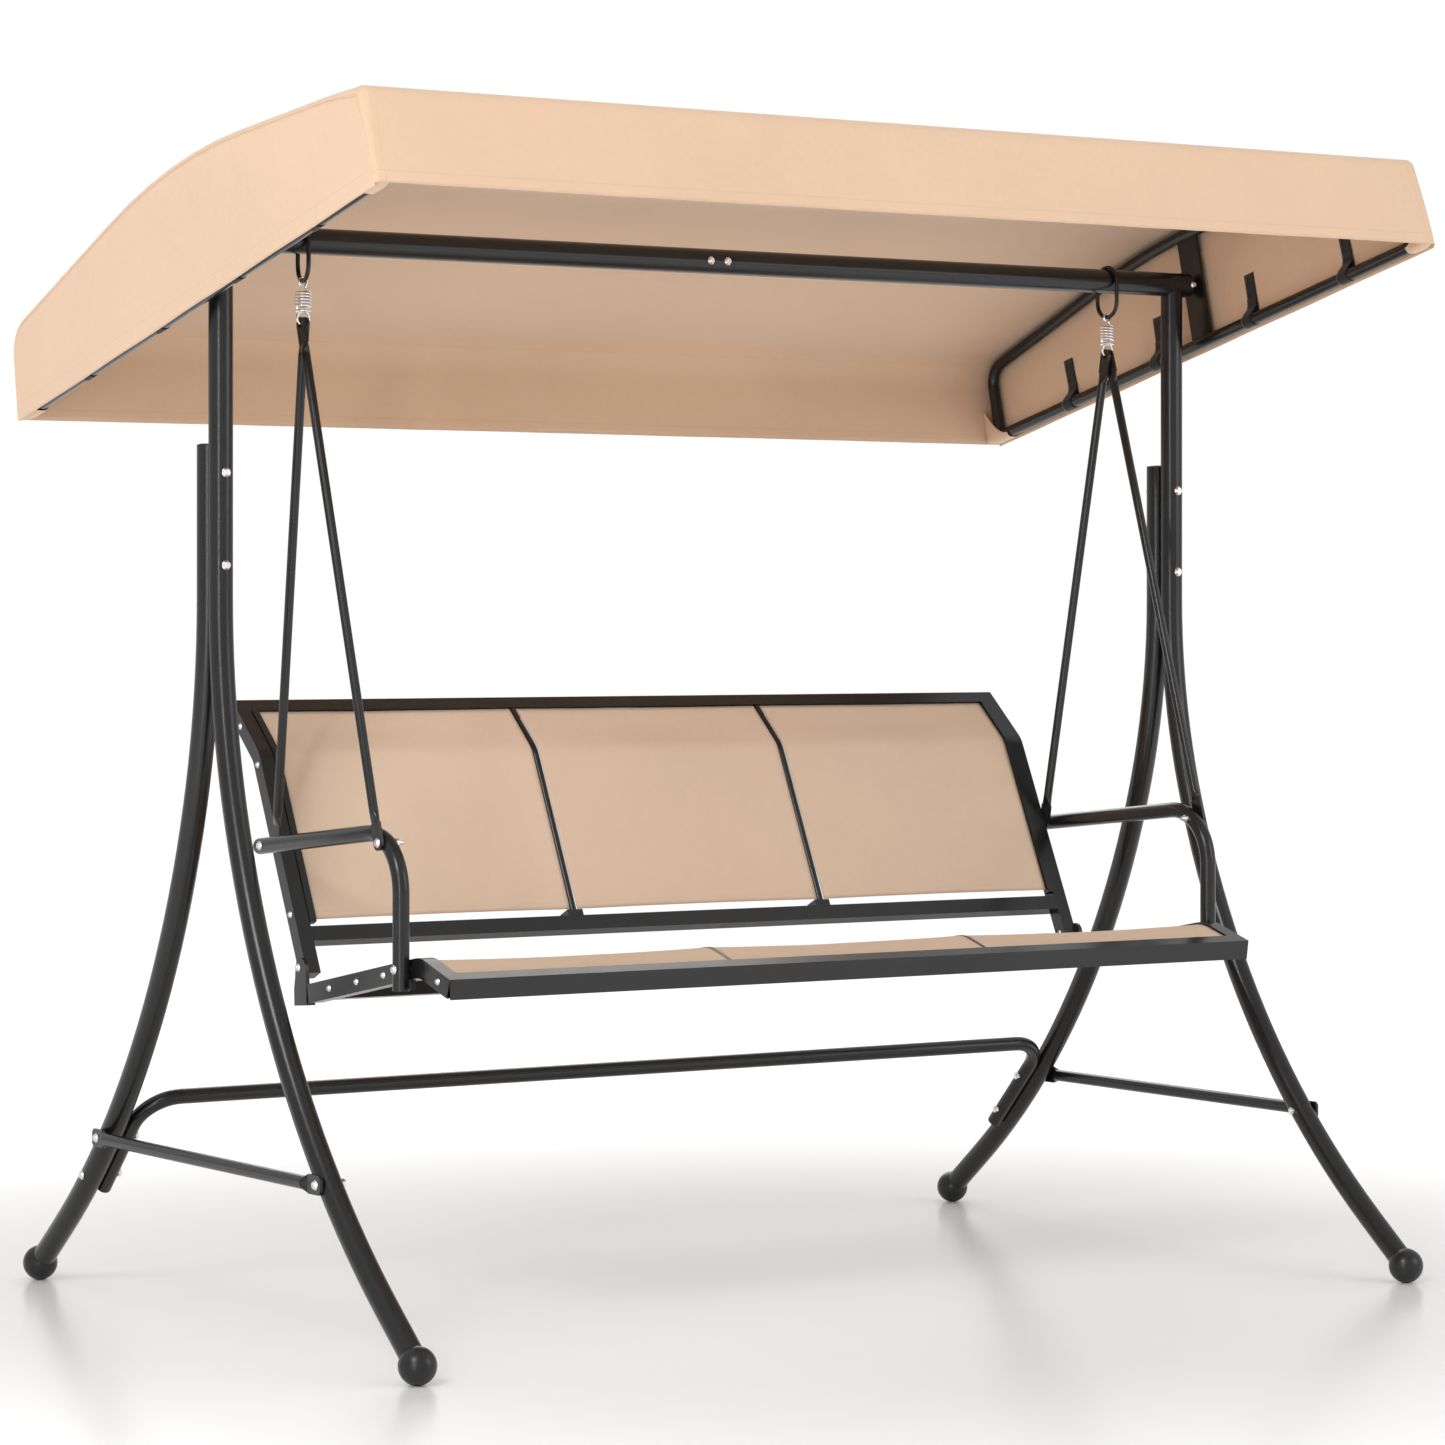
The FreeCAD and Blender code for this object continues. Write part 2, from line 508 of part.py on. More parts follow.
def ring(x):
    e = [Part.Arc(V(x, -RING_W, rz1), V(x, 0, rz1 + RING_W), V(x, RING_W, rz1)).toShape(),
         Part.makeLine(V(x, RING_W, rz1), V(x, RING_W, rz0)),
         Part.Arc(V(x, RING_W, rz0), V(x, 0, rz0 - RING_W), V(x, -RING_W, rz0)).toShape(),
         Part.makeLine(V(x, -RING_W, rz0), V(x, -RING_W, rz1))]
    w = Part.Wire(e)
    p = Part.Wire([Part.makeCircle(RING_WIRE, V(x, RING_W, (rz0 + rz1) / 2), V(0, 0, 1))])
    w2 = Part.Wire([Part.makeLine(V(x, RING_W, (rz0 + rz1) / 2), V(x, RING_W, rz0)), e[2], e[3], e[0],
                    Part.makeLine(V(x, RING_W, rz1), V(x, RING_W, (rz0 + rz1) / 2))])
    return w2.makePipeShell([p], True, True)


# the left ring hangs slightly turned on the bar
ring_l = ring(-HANG_X)
ring_l.rotate(V(-HANG_X, 0, rz0), V(0, 0, 1), -10.0)
add("hanger_rings", Part.makeCompound([ring(HANG_X), ring_l]))

HOOK_TOP = 1561.0 + RING_WIRE + 0.3 + SPRING_WIRE
COIL_TOP, COIL_LOW, TURNS = 1545.0, 1521.0, 5.5


def spring(x):
    pts = []
    cz = HOOK_TOP - 6.4
    for k in range(0, 13):          # upper hook, open loop over the ring wire
        a = math.radians(-60 + 20 * k)
        pts.append(V(x - 6.4 * math.cos(a), 0, cz + 6.4 * math.sin(a)))
    pts.append(V(x + 3.5, 0, cz - 7.2))
    pts.append(V(x + 5.5, 0, COIL_TOP + 4.5))
    n = int(TURNS * 16)
    for k in range(n + 1):
        a = 2 * math.pi * k / 16.0
        z = COIL_TOP + 1.2 - (COIL_TOP + 1.2 - COIL_LOW) * k / n
        pts.append(V(x + SPRING_R * math.cos(a), SPRING_R * math.sin(a), z))
    c = Part.BSplineCurve()
    c.interpolate(pts)
    e = c.toShape()
    w = Part.Wire([e])
    p0 = e.valueAt(e.FirstParameter)
    t0 = e.tangentAt(e.FirstParameter)
    return w.makePipeShell([Part.Wire([Part.makeCircle(SPRING_WIRE, p0, t0)])], True, True)


HOOK_R = 10.0
HOOK_Z = APEX_Z + 0.2               # wire centre where it carries the hanger eyes


def hook(x):
    """Closed loop under the coil, joined to one flat turn by a cross wire."""
    h = Part.makeTorus(HOOK_R, SPRING_WIRE, V(x, 0, HOOK_Z + HOOK_R), V(0, 1, 0))
    t = Part.makeTorus(SPRING_R, SPRING_WIRE, V(x, 0, COIL_LOW - 4.4), V(0, 0, 1))
    c = cyl((x - SPRING_R, 0, COIL_LOW - 4.9), (1, 0, 0), 2 * SPRING_R, SPRING_WIRE * 0.92)
    return h.fuse(t).fuse(c)


add("springs", Part.makeCompound([spring(HANG_X), spring(-HANG_X)]))
add("spring_hooks", Part.makeCompound([hook(HANG_X), hook(-HANG_X)]))

# ---- hangers ---------------------------------------------------------------
FB = (-240.5, 728.6)                # front bolt, in the armrest bend
RBP = (138.5, 709.0)                # rear bolt, armrest to back frame
rh = HANG_D / 2.0
hf = flat_end_rod((0.0, APEX_Z), FB, HANG_X + 3.1, ARM_X + ARM_D / 2.0 + 0.3 + 2.5, rh, 11.5, 5.0, 30.0, 16.0)
hr = flat_end_rod((0.0, APEX_Z), RBP, HANG_X - 3.1, 736.1, rh, 11.5, 4.2, 30.0, 16.0)
eye = cyl((HANG_X - 20, 0, APEX_Z), (1, 0, 0), 40, 4.4)
hf, hr = hf.cut(eye), hr.cut(eye)
add("hanger_front_right", hf)
add("hanger_rear_right", hr)
add("hanger_front_left", mirror(hf))
add("hanger_rear_left", mirror(hr))

# ---- seat frame ------------------------------------------------------------
FTOP = (-398.5, 538.5)
KINK = (-312.0, 565.5)
RTOP = (33.0, 503.7)
side_top = [FTOP, KINK, RTOP]
side_out = fillet_points(side_top, [60.0], 6.0)
outer = band(side_out, SEAT_H)
sr = plate(outer, SEAT_X - SEAT_W, SEAT_X)
inner_band = band([(p[0], p[1]) for p in side_out], SEAT_H)


def shrink(poly_top, h, t):
    mid = band(poly_top, t)[len(poly_top):][::-1]
    return band(mid, h - 2 * t)


sr_in = plate(shrink(side_out, SEAT_H, 1.5), SEAT_X - SEAT_W + 1.5, SEAT_X - 1.5)
sr = sr.cut(sr_in)
# front rail with the same section, mitred into the side rails
s1 = math.atan2(KINK[1] - FTOP[1], KINK[0] - FTOP[0])
dxy = SEAT_W
f_top2 = (FTOP[0] + dxy, FTOP[1] + dxy * math.tan(s1))
fr_poly = [FTOP, f_top2, (f_top2[0] + 1.0, f_top2[1] - SEAT_H), (FTOP[0] + 2.0, FTOP[1] - SEAT_H - 0.6)]
fr = plate(fr_poly, -SEAT_X, SEAT_X)
frc = [(FTOP[0] + 2.0, FTOP[1] - 1.2), (f_top2[0] - 1.5, f_top2[1] - 1.9), (f_top2[0] - 0.6, f_top2[1] - SEAT_H + 1.5), (FTOP[0] + 3.4, FTOP[1] - SEAT_H + 1.0)]
fr = fr.cut(plate(frc, -SEAT_X + 30, SEAT_X - 30))


def wedge(pts):
    w = Part.makePolygon([V(x, y, 400) for x, y in pts] + [V(pts[0][0], pts[0][1], 400)])
    return Part.Face(w).extrude(V(0, 0, 300))


k = 70.0
w_side = wedge([(SEAT_X + 5, FTOP[0] - 5 - 0.05), (SEAT_X - k, FTOP[0] + k - 0.05), (SEAT_X + 5, FTOP[0] + k)])
w_front = wedge([(SEAT_X + 5, FTOP[0] - 5 + 0.05), (SEAT_X - k, FTOP[0] + k + 0.05), (SEAT_X - k, FTOP[0] - 5)])
fr = fr.cut(w_side).cut(mirror(w_side))
fr = max(fr.Solids, key=lambda s: s.Volume)
sr = sr.cut(w_front)
sr = max(sr.Solids, key=lambda s: s.Volume)
add("seat_side_rail_right", sr)
add("seat_side_rail_left", mirror(sr))
add("seat_front_rail", fr)
# rear rail between the side rails
slope = math.atan2(RTOP[1] - KINK[1], RTOP[0] - KINK[0])


def seat_top(y):
    return KINK[1] + (y - KINK[0]) * math.tan(slope)


ra = [(5.0, seat_top(5.0) - 2.0), (29.0, seat_top(29.0) - 2.0), (29.0 - 4.0, seat_top(29.0) - 26.0), (5.0 - 4.0, seat_top(5.0) - 26.0)]
rr = plate(ra, -SEAT_X + SEAT_W + 0.1, SEAT_X - SEAT_W - 0.1)
rai = [(6.3, seat_top(5.0) - 3.9), (27.2, seat_top(29.0) - 3.4), (23.8, seat_top(29.0) - 24.2), (3.0, seat_top(5.0) - 24.4)]
rr = rr.cut(plate(rai, -SEAT_X + SEAT_W + 5, SEAT_X - SEAT_W - 5))
add("seat_rear_rail", rr)
# dividers under the joints between the three panels
cl_top = fillet_points([(f_top2[0] + 0.6, f_top2[1] - 3.2), (KINK[0] + 0.5, KINK[1] - 3.5), (4.2, seat_top(4.2) - 3.5)], [70.0], 4.0)
dv = plate(band([(p[0], p[1] + 0.6) for p in cl_top], 16.0), -2.4, 2.4)
dvs = []
for sx in (1, -1):
    d2 = dv.copy()
    d2.translate(V(sx * DIV_X, 0, 0))
    dvs.append(d2)
add("seat_dividers", Part.makeCompound(dvs))
cl = band(cl_top, CLOTH)
add("seat_sling_left", plate(cl, -SEAT_X + SEAT_W + 0.5, -DIV_X - 2.9))
add("seat_sling_middle", plate(cl, -DIV_X + 2.9, DIV_X - 2.9))
add("seat_sling_right", plate(cl, DIV_X + 2.9, SEAT_X - SEAT_W - 0.5))

# ---- back frame ------------------------------------------------------------
BB = (43.5, 519.5)                  # front edge, bottom
BK = (200.2, 850.0)                 # front edge, kink
BT = (290.0, 928.2)                 # front edge, top
lo_d = V(0, BK[0] - BB[0], BK[1] - BB[1]).normalize()
up_d = V(0, BT[0] - BK[0], BT[1] - BK[1]).normalize()
front_line = fillet_points([BB, BK, (BT[0] - up_d.y * BACK_D, BT[1] - up_d.z * BACK_D)], [45.0], 4.0)
back_side = plate(band(front_line, BACK_D), BACK_X - BACK_W, BACK_X)
fl2 = fillet_points([(BB[0] + lo_d.y * 2, BB[1] + lo_d.z * 2), BK, (BT[0] - up_d.y * (BACK_D + 2), BT[1] - up_d.z * (BACK_D + 2))], [45.0], 4.0)
back_side = back_side.cut(plate(shrink(fl2, BACK_D, 1.5), BACK_X - BACK_W + 1.5, BACK_X - 1.5))
add("back_side_tube_right", back_side)
add("back_side_tube_left", mirror(back_side))


def square_along(p, d, length, depth):
    """YZ quad whose front edge starts at p and runs along d; depth goes to the rear."""
    n = (d.z, -d.y)
    q = (p[0] + d.y * length, p[1] + d.z * length)
    return [p, q, (q[0] + n[0] * depth, q[1] + n[1] * depth), (p[0] + n[0] * depth, p[1] + n[1] * depth)]


tp = (BT[0] - up_d.y * (BACK_D - 0.1), BT[1] - up_d.z * (BACK_D - 0.1))
tr = plate(square_along(tp, up_d, BACK_D - 0.1, BACK_D), -BACK_X, BACK_X)
tpi = (tp[0] + up_d.y * 1.5 + up_d.z * 1.5, tp[1] + up_d.z * 1.5 - up_d.y * 1.5)
tr = tr.cut(plate(square_along(tpi, up_d, BACK_D - 3.1, BACK_D - 3.0), -BACK_X + 2, BACK_X - 2))
add("back_top_rail", tr)
LOW_T = 588.0                       # top front edge of the lower rail


def back_front(z):
    return BB[0] + (z - BB[1]) * lo_d.y / lo_d.z


lp_z = LOW_T - lo_d.z * BACK_D
lp = (back_front(lp_z), lp_z)
lr = plate(square_along(lp, lo_d, BACK_D, BACK_D), -BACK_X + BACK_W + 0.1, BACK_X - BACK_W - 0.1)
lpi = (lp[0] + lo_d.y * 1.5 + lo_d.z * 1.5, lp[1] + lo_d.z * 1.5 - lo_d.y * 1.5)
lr = lr.cut(plate(square_along(lpi, lo_d, BACK_D - 3.0, BACK_D - 3.0), -BACK_X + BACK_W + 2, BACK_X - BACK_W - 2))
add("back_lower_rail", lr)
# intermediate uprights with small feet on the lower rail
up_lo = (back_front(LOW_T + 0.1), LOW_T + 0.1)
up_hi = (BT[0] - up_d.y * (BACK_D + 0.1), BT[1] - up_d.z * (BACK_D + 0.1))
DIV_R = 6.2


def behind(p, dd, t, along=0.0):
    """Point t behind p, square to the direction dd in the YZ plane."""
    return (p[0] + dd.z * t + dd.y * along, p[1] - dd.y * t + dd.z * along)


turn = (lo_d + up_d).normalize()
kink_k = (DIV_R + 0.8) / (turn.dot(lo_d))
u_pts = [behind(up_lo, lo_d, DIV_R + 0.8, 4.0), (BK[0] + turn.z * kink_k, BK[1] - turn.y * kink_k), behind(up_hi, up_d, DIV_R + 0.8)]
upr = tube(fillet_wire(u_pts, [45.0], 0.0), DIV_R, 1.2)
ft = square_along(up_lo, lo_d, 10.0, 23.8)
upr = upr.fuse(plate(ft, -14.0, 14.0))
for n, sx in (("right", 1), ("left", -1)):
    u2 = upr.copy()
    u2.translate(V(sx * DIV_X, 0, 0))
    add("back_divider_" + n, u2)
# sling rails on the inner sides of the back side tubes
HEM_S = 13.0
s_lo = (back_front(LOW_T + 6), LOW_T + 6)
s_line = fillet_points([s_lo, BK, up_hi], [45.0], 4.0)
s_line = band(s_line, -2.0)[len(s_line):][::-1]
rail = plate(band(s_line, 12.0), BACK_X - BACK_W - 11.0, BACK_X - BACK_W - 0.2)
add("back_sling_rails", Part.makeCompound([rail, mirror(rail)]))
c_lo = (back_front(LOW_T + 11), LOW_T + 11)
c_line = fillet_points([c_lo, BK, (up_hi[0] - up_d.y * 0.5, up_hi[1] - up_d.z * 0.5)], [45.0], 4.0)
c_line = band(c_line, 3.0)[len(c_line):][::-1]
cb = band(c_line, CLOTH)
xe = BACK_X - BACK_W - 11.5
add("back_sling_left", plate(cb, -xe, -DIV_X - 7.5))
add("back_sling_middle", plate(cb, -DIV_X + 7.5, DIV_X - 7.5))
add("back_sling_right", plate(cb, DIV_X + 7.5, xe))

# rear brackets joining the seat side rails to the back side tubes
BP = (back_front(527.0) + 13.5, 527.0)
prof = [(33.3, 471.5), (72.0, 468.5), (73.5, 494.0), (70.0, 512.0), (69.0, 527.0), (66.5, 535.0),
        (60.0, 540.5), (52.0, 542.0), (44.0, 539.5), (38.5, 533.0), (36.5, 524.0), (34.0, 503.0)]
bracket = plate(prof, BACK_X + 0.3, SEAT_X + 0.6)
rearw = plate([(69.0, 470.0), (72.5, 469.5), (73.5, 494.0), (70.0, 494.0)], BACK_X - 16.0, SEAT_X + 0.6)
web = plate([(33.6, 471.5), (72.0, 468.5), (72.2, 472.4), (33.6, 475.4)], BACK_X - 9.0, SEAT_X + 0.6)
# tongue of the bracket inside the open end of the side rail
tongue = plate([(10.0, seat_top(10.0) - 3.0), (44.0, seat_top(33.0) - 5.0), (44.0, seat_top(33.0) - 24.0), (10.0, seat_top(10.0) - 26.2)],
               SEAT_X - SEAT_W + 2.2, BACK_X + 1.0)
bracket = bracket.fuse(rearw).fuse(web).fuse(tongue).removeSplitter()
add("rear_brackets", Part.makeCompound([bracket, mirror(bracket)]))

# ---- armrests --------------------------------------------------------------
AY = -279.8
arm_slope = (749.3 - 709.0) / (AY - RBP[0])
end_y = 158.0
arm_pts = [(end_y, 709.0 + (end_y - RBP[0]) * arm_slope), (AY, 749.3), (AY, 516.6)]
ra_ = ARM_D / 2.0
arm = tube(fillet_wire(arm_pts, [85.0], ARM_X), ra_, 1.5)
plug_r = Part.makeCylinder(ra_, 1.6, V(ARM_X, *arm_pts[0]), V(0, 1, arm_slope))
arm = arm.fuse(plug_r).fuse(cyl((ARM_X, AY, 515.0), (0, 0, 1), 1.7, ra_))
tab = Part.makeBox(10.0, 22.0, 15.0, V(ARM_X - 10.0, AY - ra_ - 14.0, 518.0))
tab = tab.cut(Part.makeBox(5.0, 16.0, 16.0, V(ARM_X - 5.0, AY - ra_ - 12.0, 521.0)))
tab = tab.cut(cyl((ARM_X, AY, 500.0), (0, 0, 1), 60, ra_ - 0.75))
arm = arm.fuse(tab).removeSplitter()
add("armrest_right", arm)
add("armrest_left", mirror(arm))

# ---- seat fasteners --------------------------------------------------------
ab, hs = [], []
for sx in (1, -1):
    # front hanger eye to armrest bend
    x_o = ARM_X + ra_ + 0.3 + 5.0 + 0.1
    ab.append(fastener((sx * x_o, FB[0], FB[1]), (-sx, 0, 0), x_o - (ARM_X - ra_) + 0.1, r=3.5, head_r=7.2, head_h=3.2, nut_r=6.2, tail=6.0))
    drill(["hanger_front_right", "hanger_front_left", "armrest_right", "armrest_left"], (sx * 800, FB[0], FB[1]), (-sx, 0, 0), 90, 3.8)
    # rear: armrest, hanger eye, spacer, back side tube
    x_o = ARM_X + ra_ + 0.1
    ab.append(fastener((sx * x_o, RBP[0], RBP[1]), (-sx, 0, 0), x_o - (BACK_X - BACK_W) - 2.0, r=3.0, head_r=7.0, head_h=3.2, nut=False))
    drill(["hanger_rear_right", "hanger_rear_left", "armrest_right", "armrest_left", "back_side_tube_right", "back_side_tube_left"],
          (sx * 800, RBP[0], RBP[1]), (-sx, 0, 0), 110, 3.3)
    sp = cyl((sx * (BACK_X + 0.1), RBP[0], RBP[1]), (sx, 0, 0), 1.2, 9.5).cut(cyl((sx * 700, RBP[0], RBP[1]), (sx, 0, 0), 80, 3.3))
    hs.append(sp)
    # armrest foot to seat side rail
    ab.append(fastener((sx * x_o, -281.0, 546.3), (-sx, 0, 0), x_o - (SEAT_X - SEAT_W) + 0.1, r=3.0, head_r=7.0, head_h=3.2))
    drill(["armrest_right", "armrest_left", "seat_side_rail_right", "seat_side_rail_left"], (sx * 800, -281.0, 546.3), (-sx, 0, 0), 110, 3.3)
    # bracket to back side tube
    x_b = SEAT_X + 0.6 + 0.1
    ab.append(fastener((sx * x_b, BP[0], BP[1]), (-sx, 0, 0), x_b - (BACK_X - BACK_W), r=3.0, head_r=6.4, head_h=3.2, nut=False))
    drill(["rear_brackets", "back_side_tube_right", "back_side_tube_left"], (sx * 800, BP[0], BP[1]), (-sx, 0, 0), 110, 3.3)
add("seat_bolts", Part.makeCompound(ab))
add("hanger_spacers", Part.makeCompound(hs))
sc = []
for sx in (1, -1):
    for y, z in ((-36.7, 502.0), (-121.2, 517.5), (-203.4, 532.5), (-363.7, 533.5)):
        sc.append(fastener((sx * (SEAT_X + 0.1), y, z), (-sx, 0, 0), 10.0, r=2.4, head_r=5.2, head_h=2.6, nut=False))
        drill(["seat_side_rail_right", "seat_side_rail_left"], (sx * 760, y, z), (-sx, 0, 0), 35, 2.6)
    for z in (897.0, 835.0, 610.0):
        if z > 850:
            f = (BK[0] + (z - BK[1]) * up_d.y / up_d.z, z)
            n = (up_d.z, -up_d.y)
        else:
            f = (back_front(z), z)
            n = (lo_d.z, -lo_d.y)
        y, zz = f[0] + n[0] * 12.0, f[1] + n[1] * 12.0
        sc.append(fastener((sx * (BACK_X + 0.1), y, zz), (-sx, 0, 0), 10.0, r=2.4, head_r=5.2, head_h=2.6, nut=False))
        drill(["back_side_tube_right", "back_side_tube_left"], (sx * 760, y, zz), (-sx, 0, 0), 40, 2.6)
add("sling_screws", Part.makeCompound(sc))

# ---- holes, export ---------------------------------------------------------
for names, c in CUTS:
    for n in names:
        s = SHAPES[n]
        if s.BoundBox.intersect(c.BoundBox):
            SHAPES[n] = s.cut(c)

for name in sorted(SHAPES):
    s = SHAPES[name].copy()
    s.translate(V(0, SHIFT_Y, 0))
    if len(s.Solids) == 1 and s.ShapeType != "Solid":
        s = s.Solids[0]
    bad = [i for i, q in enumerate(s.Solids) if not q.isValid()]
    bb = s.BoundBox
    print("%-26s solids %2d vol %.0f bb %.0f..%.0f %.0f..%.0f %.0f..%.0f%s" % (
        name, len(s.Solids), s.Volume, bb.XMin, bb.XMax, bb.YMin, bb.YMax, bb.ZMin, bb.ZMax, " INVALID %s" % bad if bad else ""))
    s.exportStep("parts/%s.step" % name)
print(len(SHAPES), "nodes")
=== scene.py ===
import bpy
import math
import random
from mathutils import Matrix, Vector


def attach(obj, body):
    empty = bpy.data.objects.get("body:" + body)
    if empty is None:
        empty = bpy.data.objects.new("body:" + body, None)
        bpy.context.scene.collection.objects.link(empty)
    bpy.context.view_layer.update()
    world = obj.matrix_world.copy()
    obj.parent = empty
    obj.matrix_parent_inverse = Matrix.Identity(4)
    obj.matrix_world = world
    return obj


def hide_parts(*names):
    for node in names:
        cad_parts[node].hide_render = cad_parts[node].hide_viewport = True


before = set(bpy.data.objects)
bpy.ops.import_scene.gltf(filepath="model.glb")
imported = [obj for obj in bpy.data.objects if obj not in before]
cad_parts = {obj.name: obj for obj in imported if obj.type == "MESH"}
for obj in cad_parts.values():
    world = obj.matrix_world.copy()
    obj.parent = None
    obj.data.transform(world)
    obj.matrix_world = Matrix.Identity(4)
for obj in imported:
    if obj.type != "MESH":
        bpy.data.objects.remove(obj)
random.seed(11)
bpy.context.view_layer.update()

# ---------------------------------------------------------------- geometry
DY = -0.0191            # crossbar line in the row frame
CZ = 1.6214             # crossbar height
TILT = math.radians(13.65)
CA, SA = math.cos(TILT), math.sin(TILT)


def canopy(x, yl, zl):
    """Canopy drawing coordinates (level, about the pivot) to the row frame."""
    return Vector((x, yl * CA + zl * SA + DY, CZ - yl * SA + zl * CA))


def seat(x, y, z):
    return Vector((x, y + DY, z))


def fillet(pts, radii, step=3.0):
    out = [pts[0]]
    for i in range(1, len(pts) - 1):
        p0, p1, p2 = pts[i - 1], pts[i], pts[i + 1]
        r = radii[i - 1]
        v0 = (p0[0] - p1[0], p0[1] - p1[1])
        v1 = (p2[0] - p1[0], p2[1] - p1[1])
        l0, l1 = math.hypot(*v0), math.hypot(*v1)
        v0 = (v0[0] / l0, v0[1] / l0)
        v1 = (v1[0] / l1, v1[1] / l1)
        half = math.acos(max(-1, min(1, v0[0] * v1[0] + v0[1] * v1[1]))) / 2
        t = r / math.tan(half)
        b = (v0[0] + v1[0], v0[1] + v1[1])
        lb = math.hypot(*b)
        c = (p1[0] + b[0] / lb * r / math.sin(half), p1[1] + b[1] / lb * r / math.sin(half))
        a = (p1[0] + v0[0] * t, p1[1] + v0[1] * t)
        e = (p1[0] + v1[0] * t, p1[1] + v1[1] * t)
        a0 = math.atan2(a[1] - c[1], a[0] - c[0])
        d = math.atan2(e[1] - c[1], e[0] - c[0]) - a0
        while d > math.pi:
            d -= 2 * math.pi
        while d < -math.pi:
            d += 2 * math.pi
        n = max(3, int(abs(math.degrees(d)) / step) + 1)
        for k in range(n + 1):
            q = a0 + d * k / n
            out.append((c[0] + r * math.cos(q), c[1] + r * math.sin(q)))
    out.append(pts[-1])
    return out


def resample(pts, step):
    """Even spacing along a 2-D line; returns [(y, z, s, ny, nz)] with the right-hand normal."""
    s = [0.0]
    for a, b in zip(pts, pts[1:]):
        s.append(s[-1] + math.hypot(b[0] - a[0], b[1] - a[1]))
    total = s[-1]
    n = max(2, int(round(total / step)))
    out, k = [], 0
    for i in range(n + 1):
        q = total * i / n
        while k < len(s) - 2 and s[k + 1] < q:
            k += 1
        f = (q - s[k]) / max(1e-9, s[k + 1] - s[k])
        y = pts[k][0] + (pts[k + 1][0] - pts[k][0]) * f
        z = pts[k][1] + (pts[k + 1][1] - pts[k][1]) * f
        out.append([y, z, q])
    res = []
    for i, (y, z, q) in enumerate(out):
        a, b = out[max(0, i - 1)], out[min(n, i + 1)]
        dy, dz = b[0] - a[0], b[1] - a[1]
        l = math.hypot(dy, dz)
        res.append((y, z, q, dz / l, -dy / l))
    return res


def smooth(a, b, x):
    t = max(0.0, min(1.0, (x - a) / (b - a)))
    return t * t * (3 - 2 * t)


def ripple(a, b, seed=0.0):
    """Gentle, repeatable unevenness between -1 and 1."""
    return (math.sin(a * 1.7 + seed) * math.cos(b * 1.3 - seed * 0.7) * 0.5
            + math.sin(a * 3.9 + b * 2.1 + seed * 2.3) * 0.3
            + math.cos(a * 7.3 - b * 5.2 + seed) * 0.2)


def make_mesh(name, verts, faces, uvs=None, smooth_shade=True):
    me = bpy.data.meshes.new(name)
    me.from_pydata([tuple(v) for v in verts], [], faces)
    if uvs:
        layer = me.uv_layers.new(name="cloth")
        for lp in me.loops:
            layer.data[lp.index].uv = uvs[lp.vertex_index]
    me.validate()
    me.update()
    if smooth_shade:
        for p in me.polygons:
            p.use_smooth = True
    ob = bpy.data.objects.new(name, me)
    bpy.context.scene.collection.objects.link(ob)
    return ob


def grid(name, rows, cols, fn, uvfn):
    """fn(i, j) gives the point, uvfn(i, j) the cloth coordinate in metres."""
    verts, uvs, faces = [], [], []
    for i in range(rows):
        for j in range(cols):
            verts.append(fn(i, j))
            uvs.append(uvfn(i, j))
    for i in range(rows - 1):
        for j in range(cols - 1):
            a = i * cols + j
            faces.append((a, a + 1, a + cols + 1, a + cols))
    return make_mesh(name, verts, faces, uvs)


def thicken(ob, t, offset=-1.0):
    m = ob.modifiers.new("cloth", "SOLIDIFY")
    m.thickness = t
    m.offset = offset
    m.use_even_offset = False
    return ob


def apply_all(ob):
    dg = bpy.context.evaluated_depsgraph_get()
    me = bpy.data.meshes.new_from_object(ob.evaluated_get(dg))
    ob.modifiers.clear()
    ob.data = me
    for p in me.polygons:
        p.use_smooth = True
    return ob


def rope(name, pts, r, sides=8, closed_ends=True):
    """Round line through 3-D points as a mesh tube."""
    verts, faces = [], []
    n = len(pts)
    ref = None
    for i, p in enumerate(pts):
        t = (pts[min(n - 1, i + 1)] - pts[max(0, i - 1)]).normalized()
        if ref is None:
            ref = Vector((0, 0, 1)) if abs(t.z) < 0.9 else Vector((1, 0, 0))
        u = (ref - t * ref.dot(t)).normalized()
        ref = u
        w = t.cross(u)
        for k in range(sides):
            q = 2 * math.pi * k / sides
            verts.append(p + u * (r * math.cos(q)) + w * (r * math.sin(q)))
    for i in range(n - 1):
        for k in range(sides):
            a, b = i * sides + k, i * sides + (k + 1) % sides
            faces.append((a, b, b + sides, a + sides))
    if closed_ends:
        faces.append(tuple(range(sides))[::-1])
        faces.append(tuple((n - 1) * sides + k for k in range(sides)))
    return make_mesh(name, verts, faces)


# --------------------------------------------------------------- materials
def node_setup(name):
    m = bpy.data.materials.new(name)
    m.use_nodes = True
    nt = m.node_tree
    b = nt.nodes.get("Principled BSDF")
    if b is None:
        nt.nodes.clear()
        b = nt.nodes.new("ShaderNodeBsdfPrincipled")
        o = nt.nodes.new("ShaderNodeOutputMaterial")
        nt.links.new(b.outputs[0], o.inputs[0])
    return m, nt, b


def noise(nt, vec, scale, detail=3.0, rough=0.55):
    n = nt.nodes.new("ShaderNodeTexNoise")
    n.inputs["Scale"].default_value = scale
    n.inputs["Detail"].default_value = detail
    n.inputs["Roughness"].default_value = rough
    nt.links.new(vec, n.inputs["Vector"])
    return n.outputs["Fac"]


def ramp(nt, fac, stops):
    r = nt.nodes.new("ShaderNodeValToRGB")
    els = r.color_ramp.elements
    while len(els) > 1:
        els.remove(els[-1])
    els[0].position, els[0].color = stops[0][0], stops[0][1]
    for p, c in stops[1:]:
        e = els.new(p)
        e.color = c
    nt.links.new(fac, r.inputs["Fac"])
    return r.outputs["Color"]


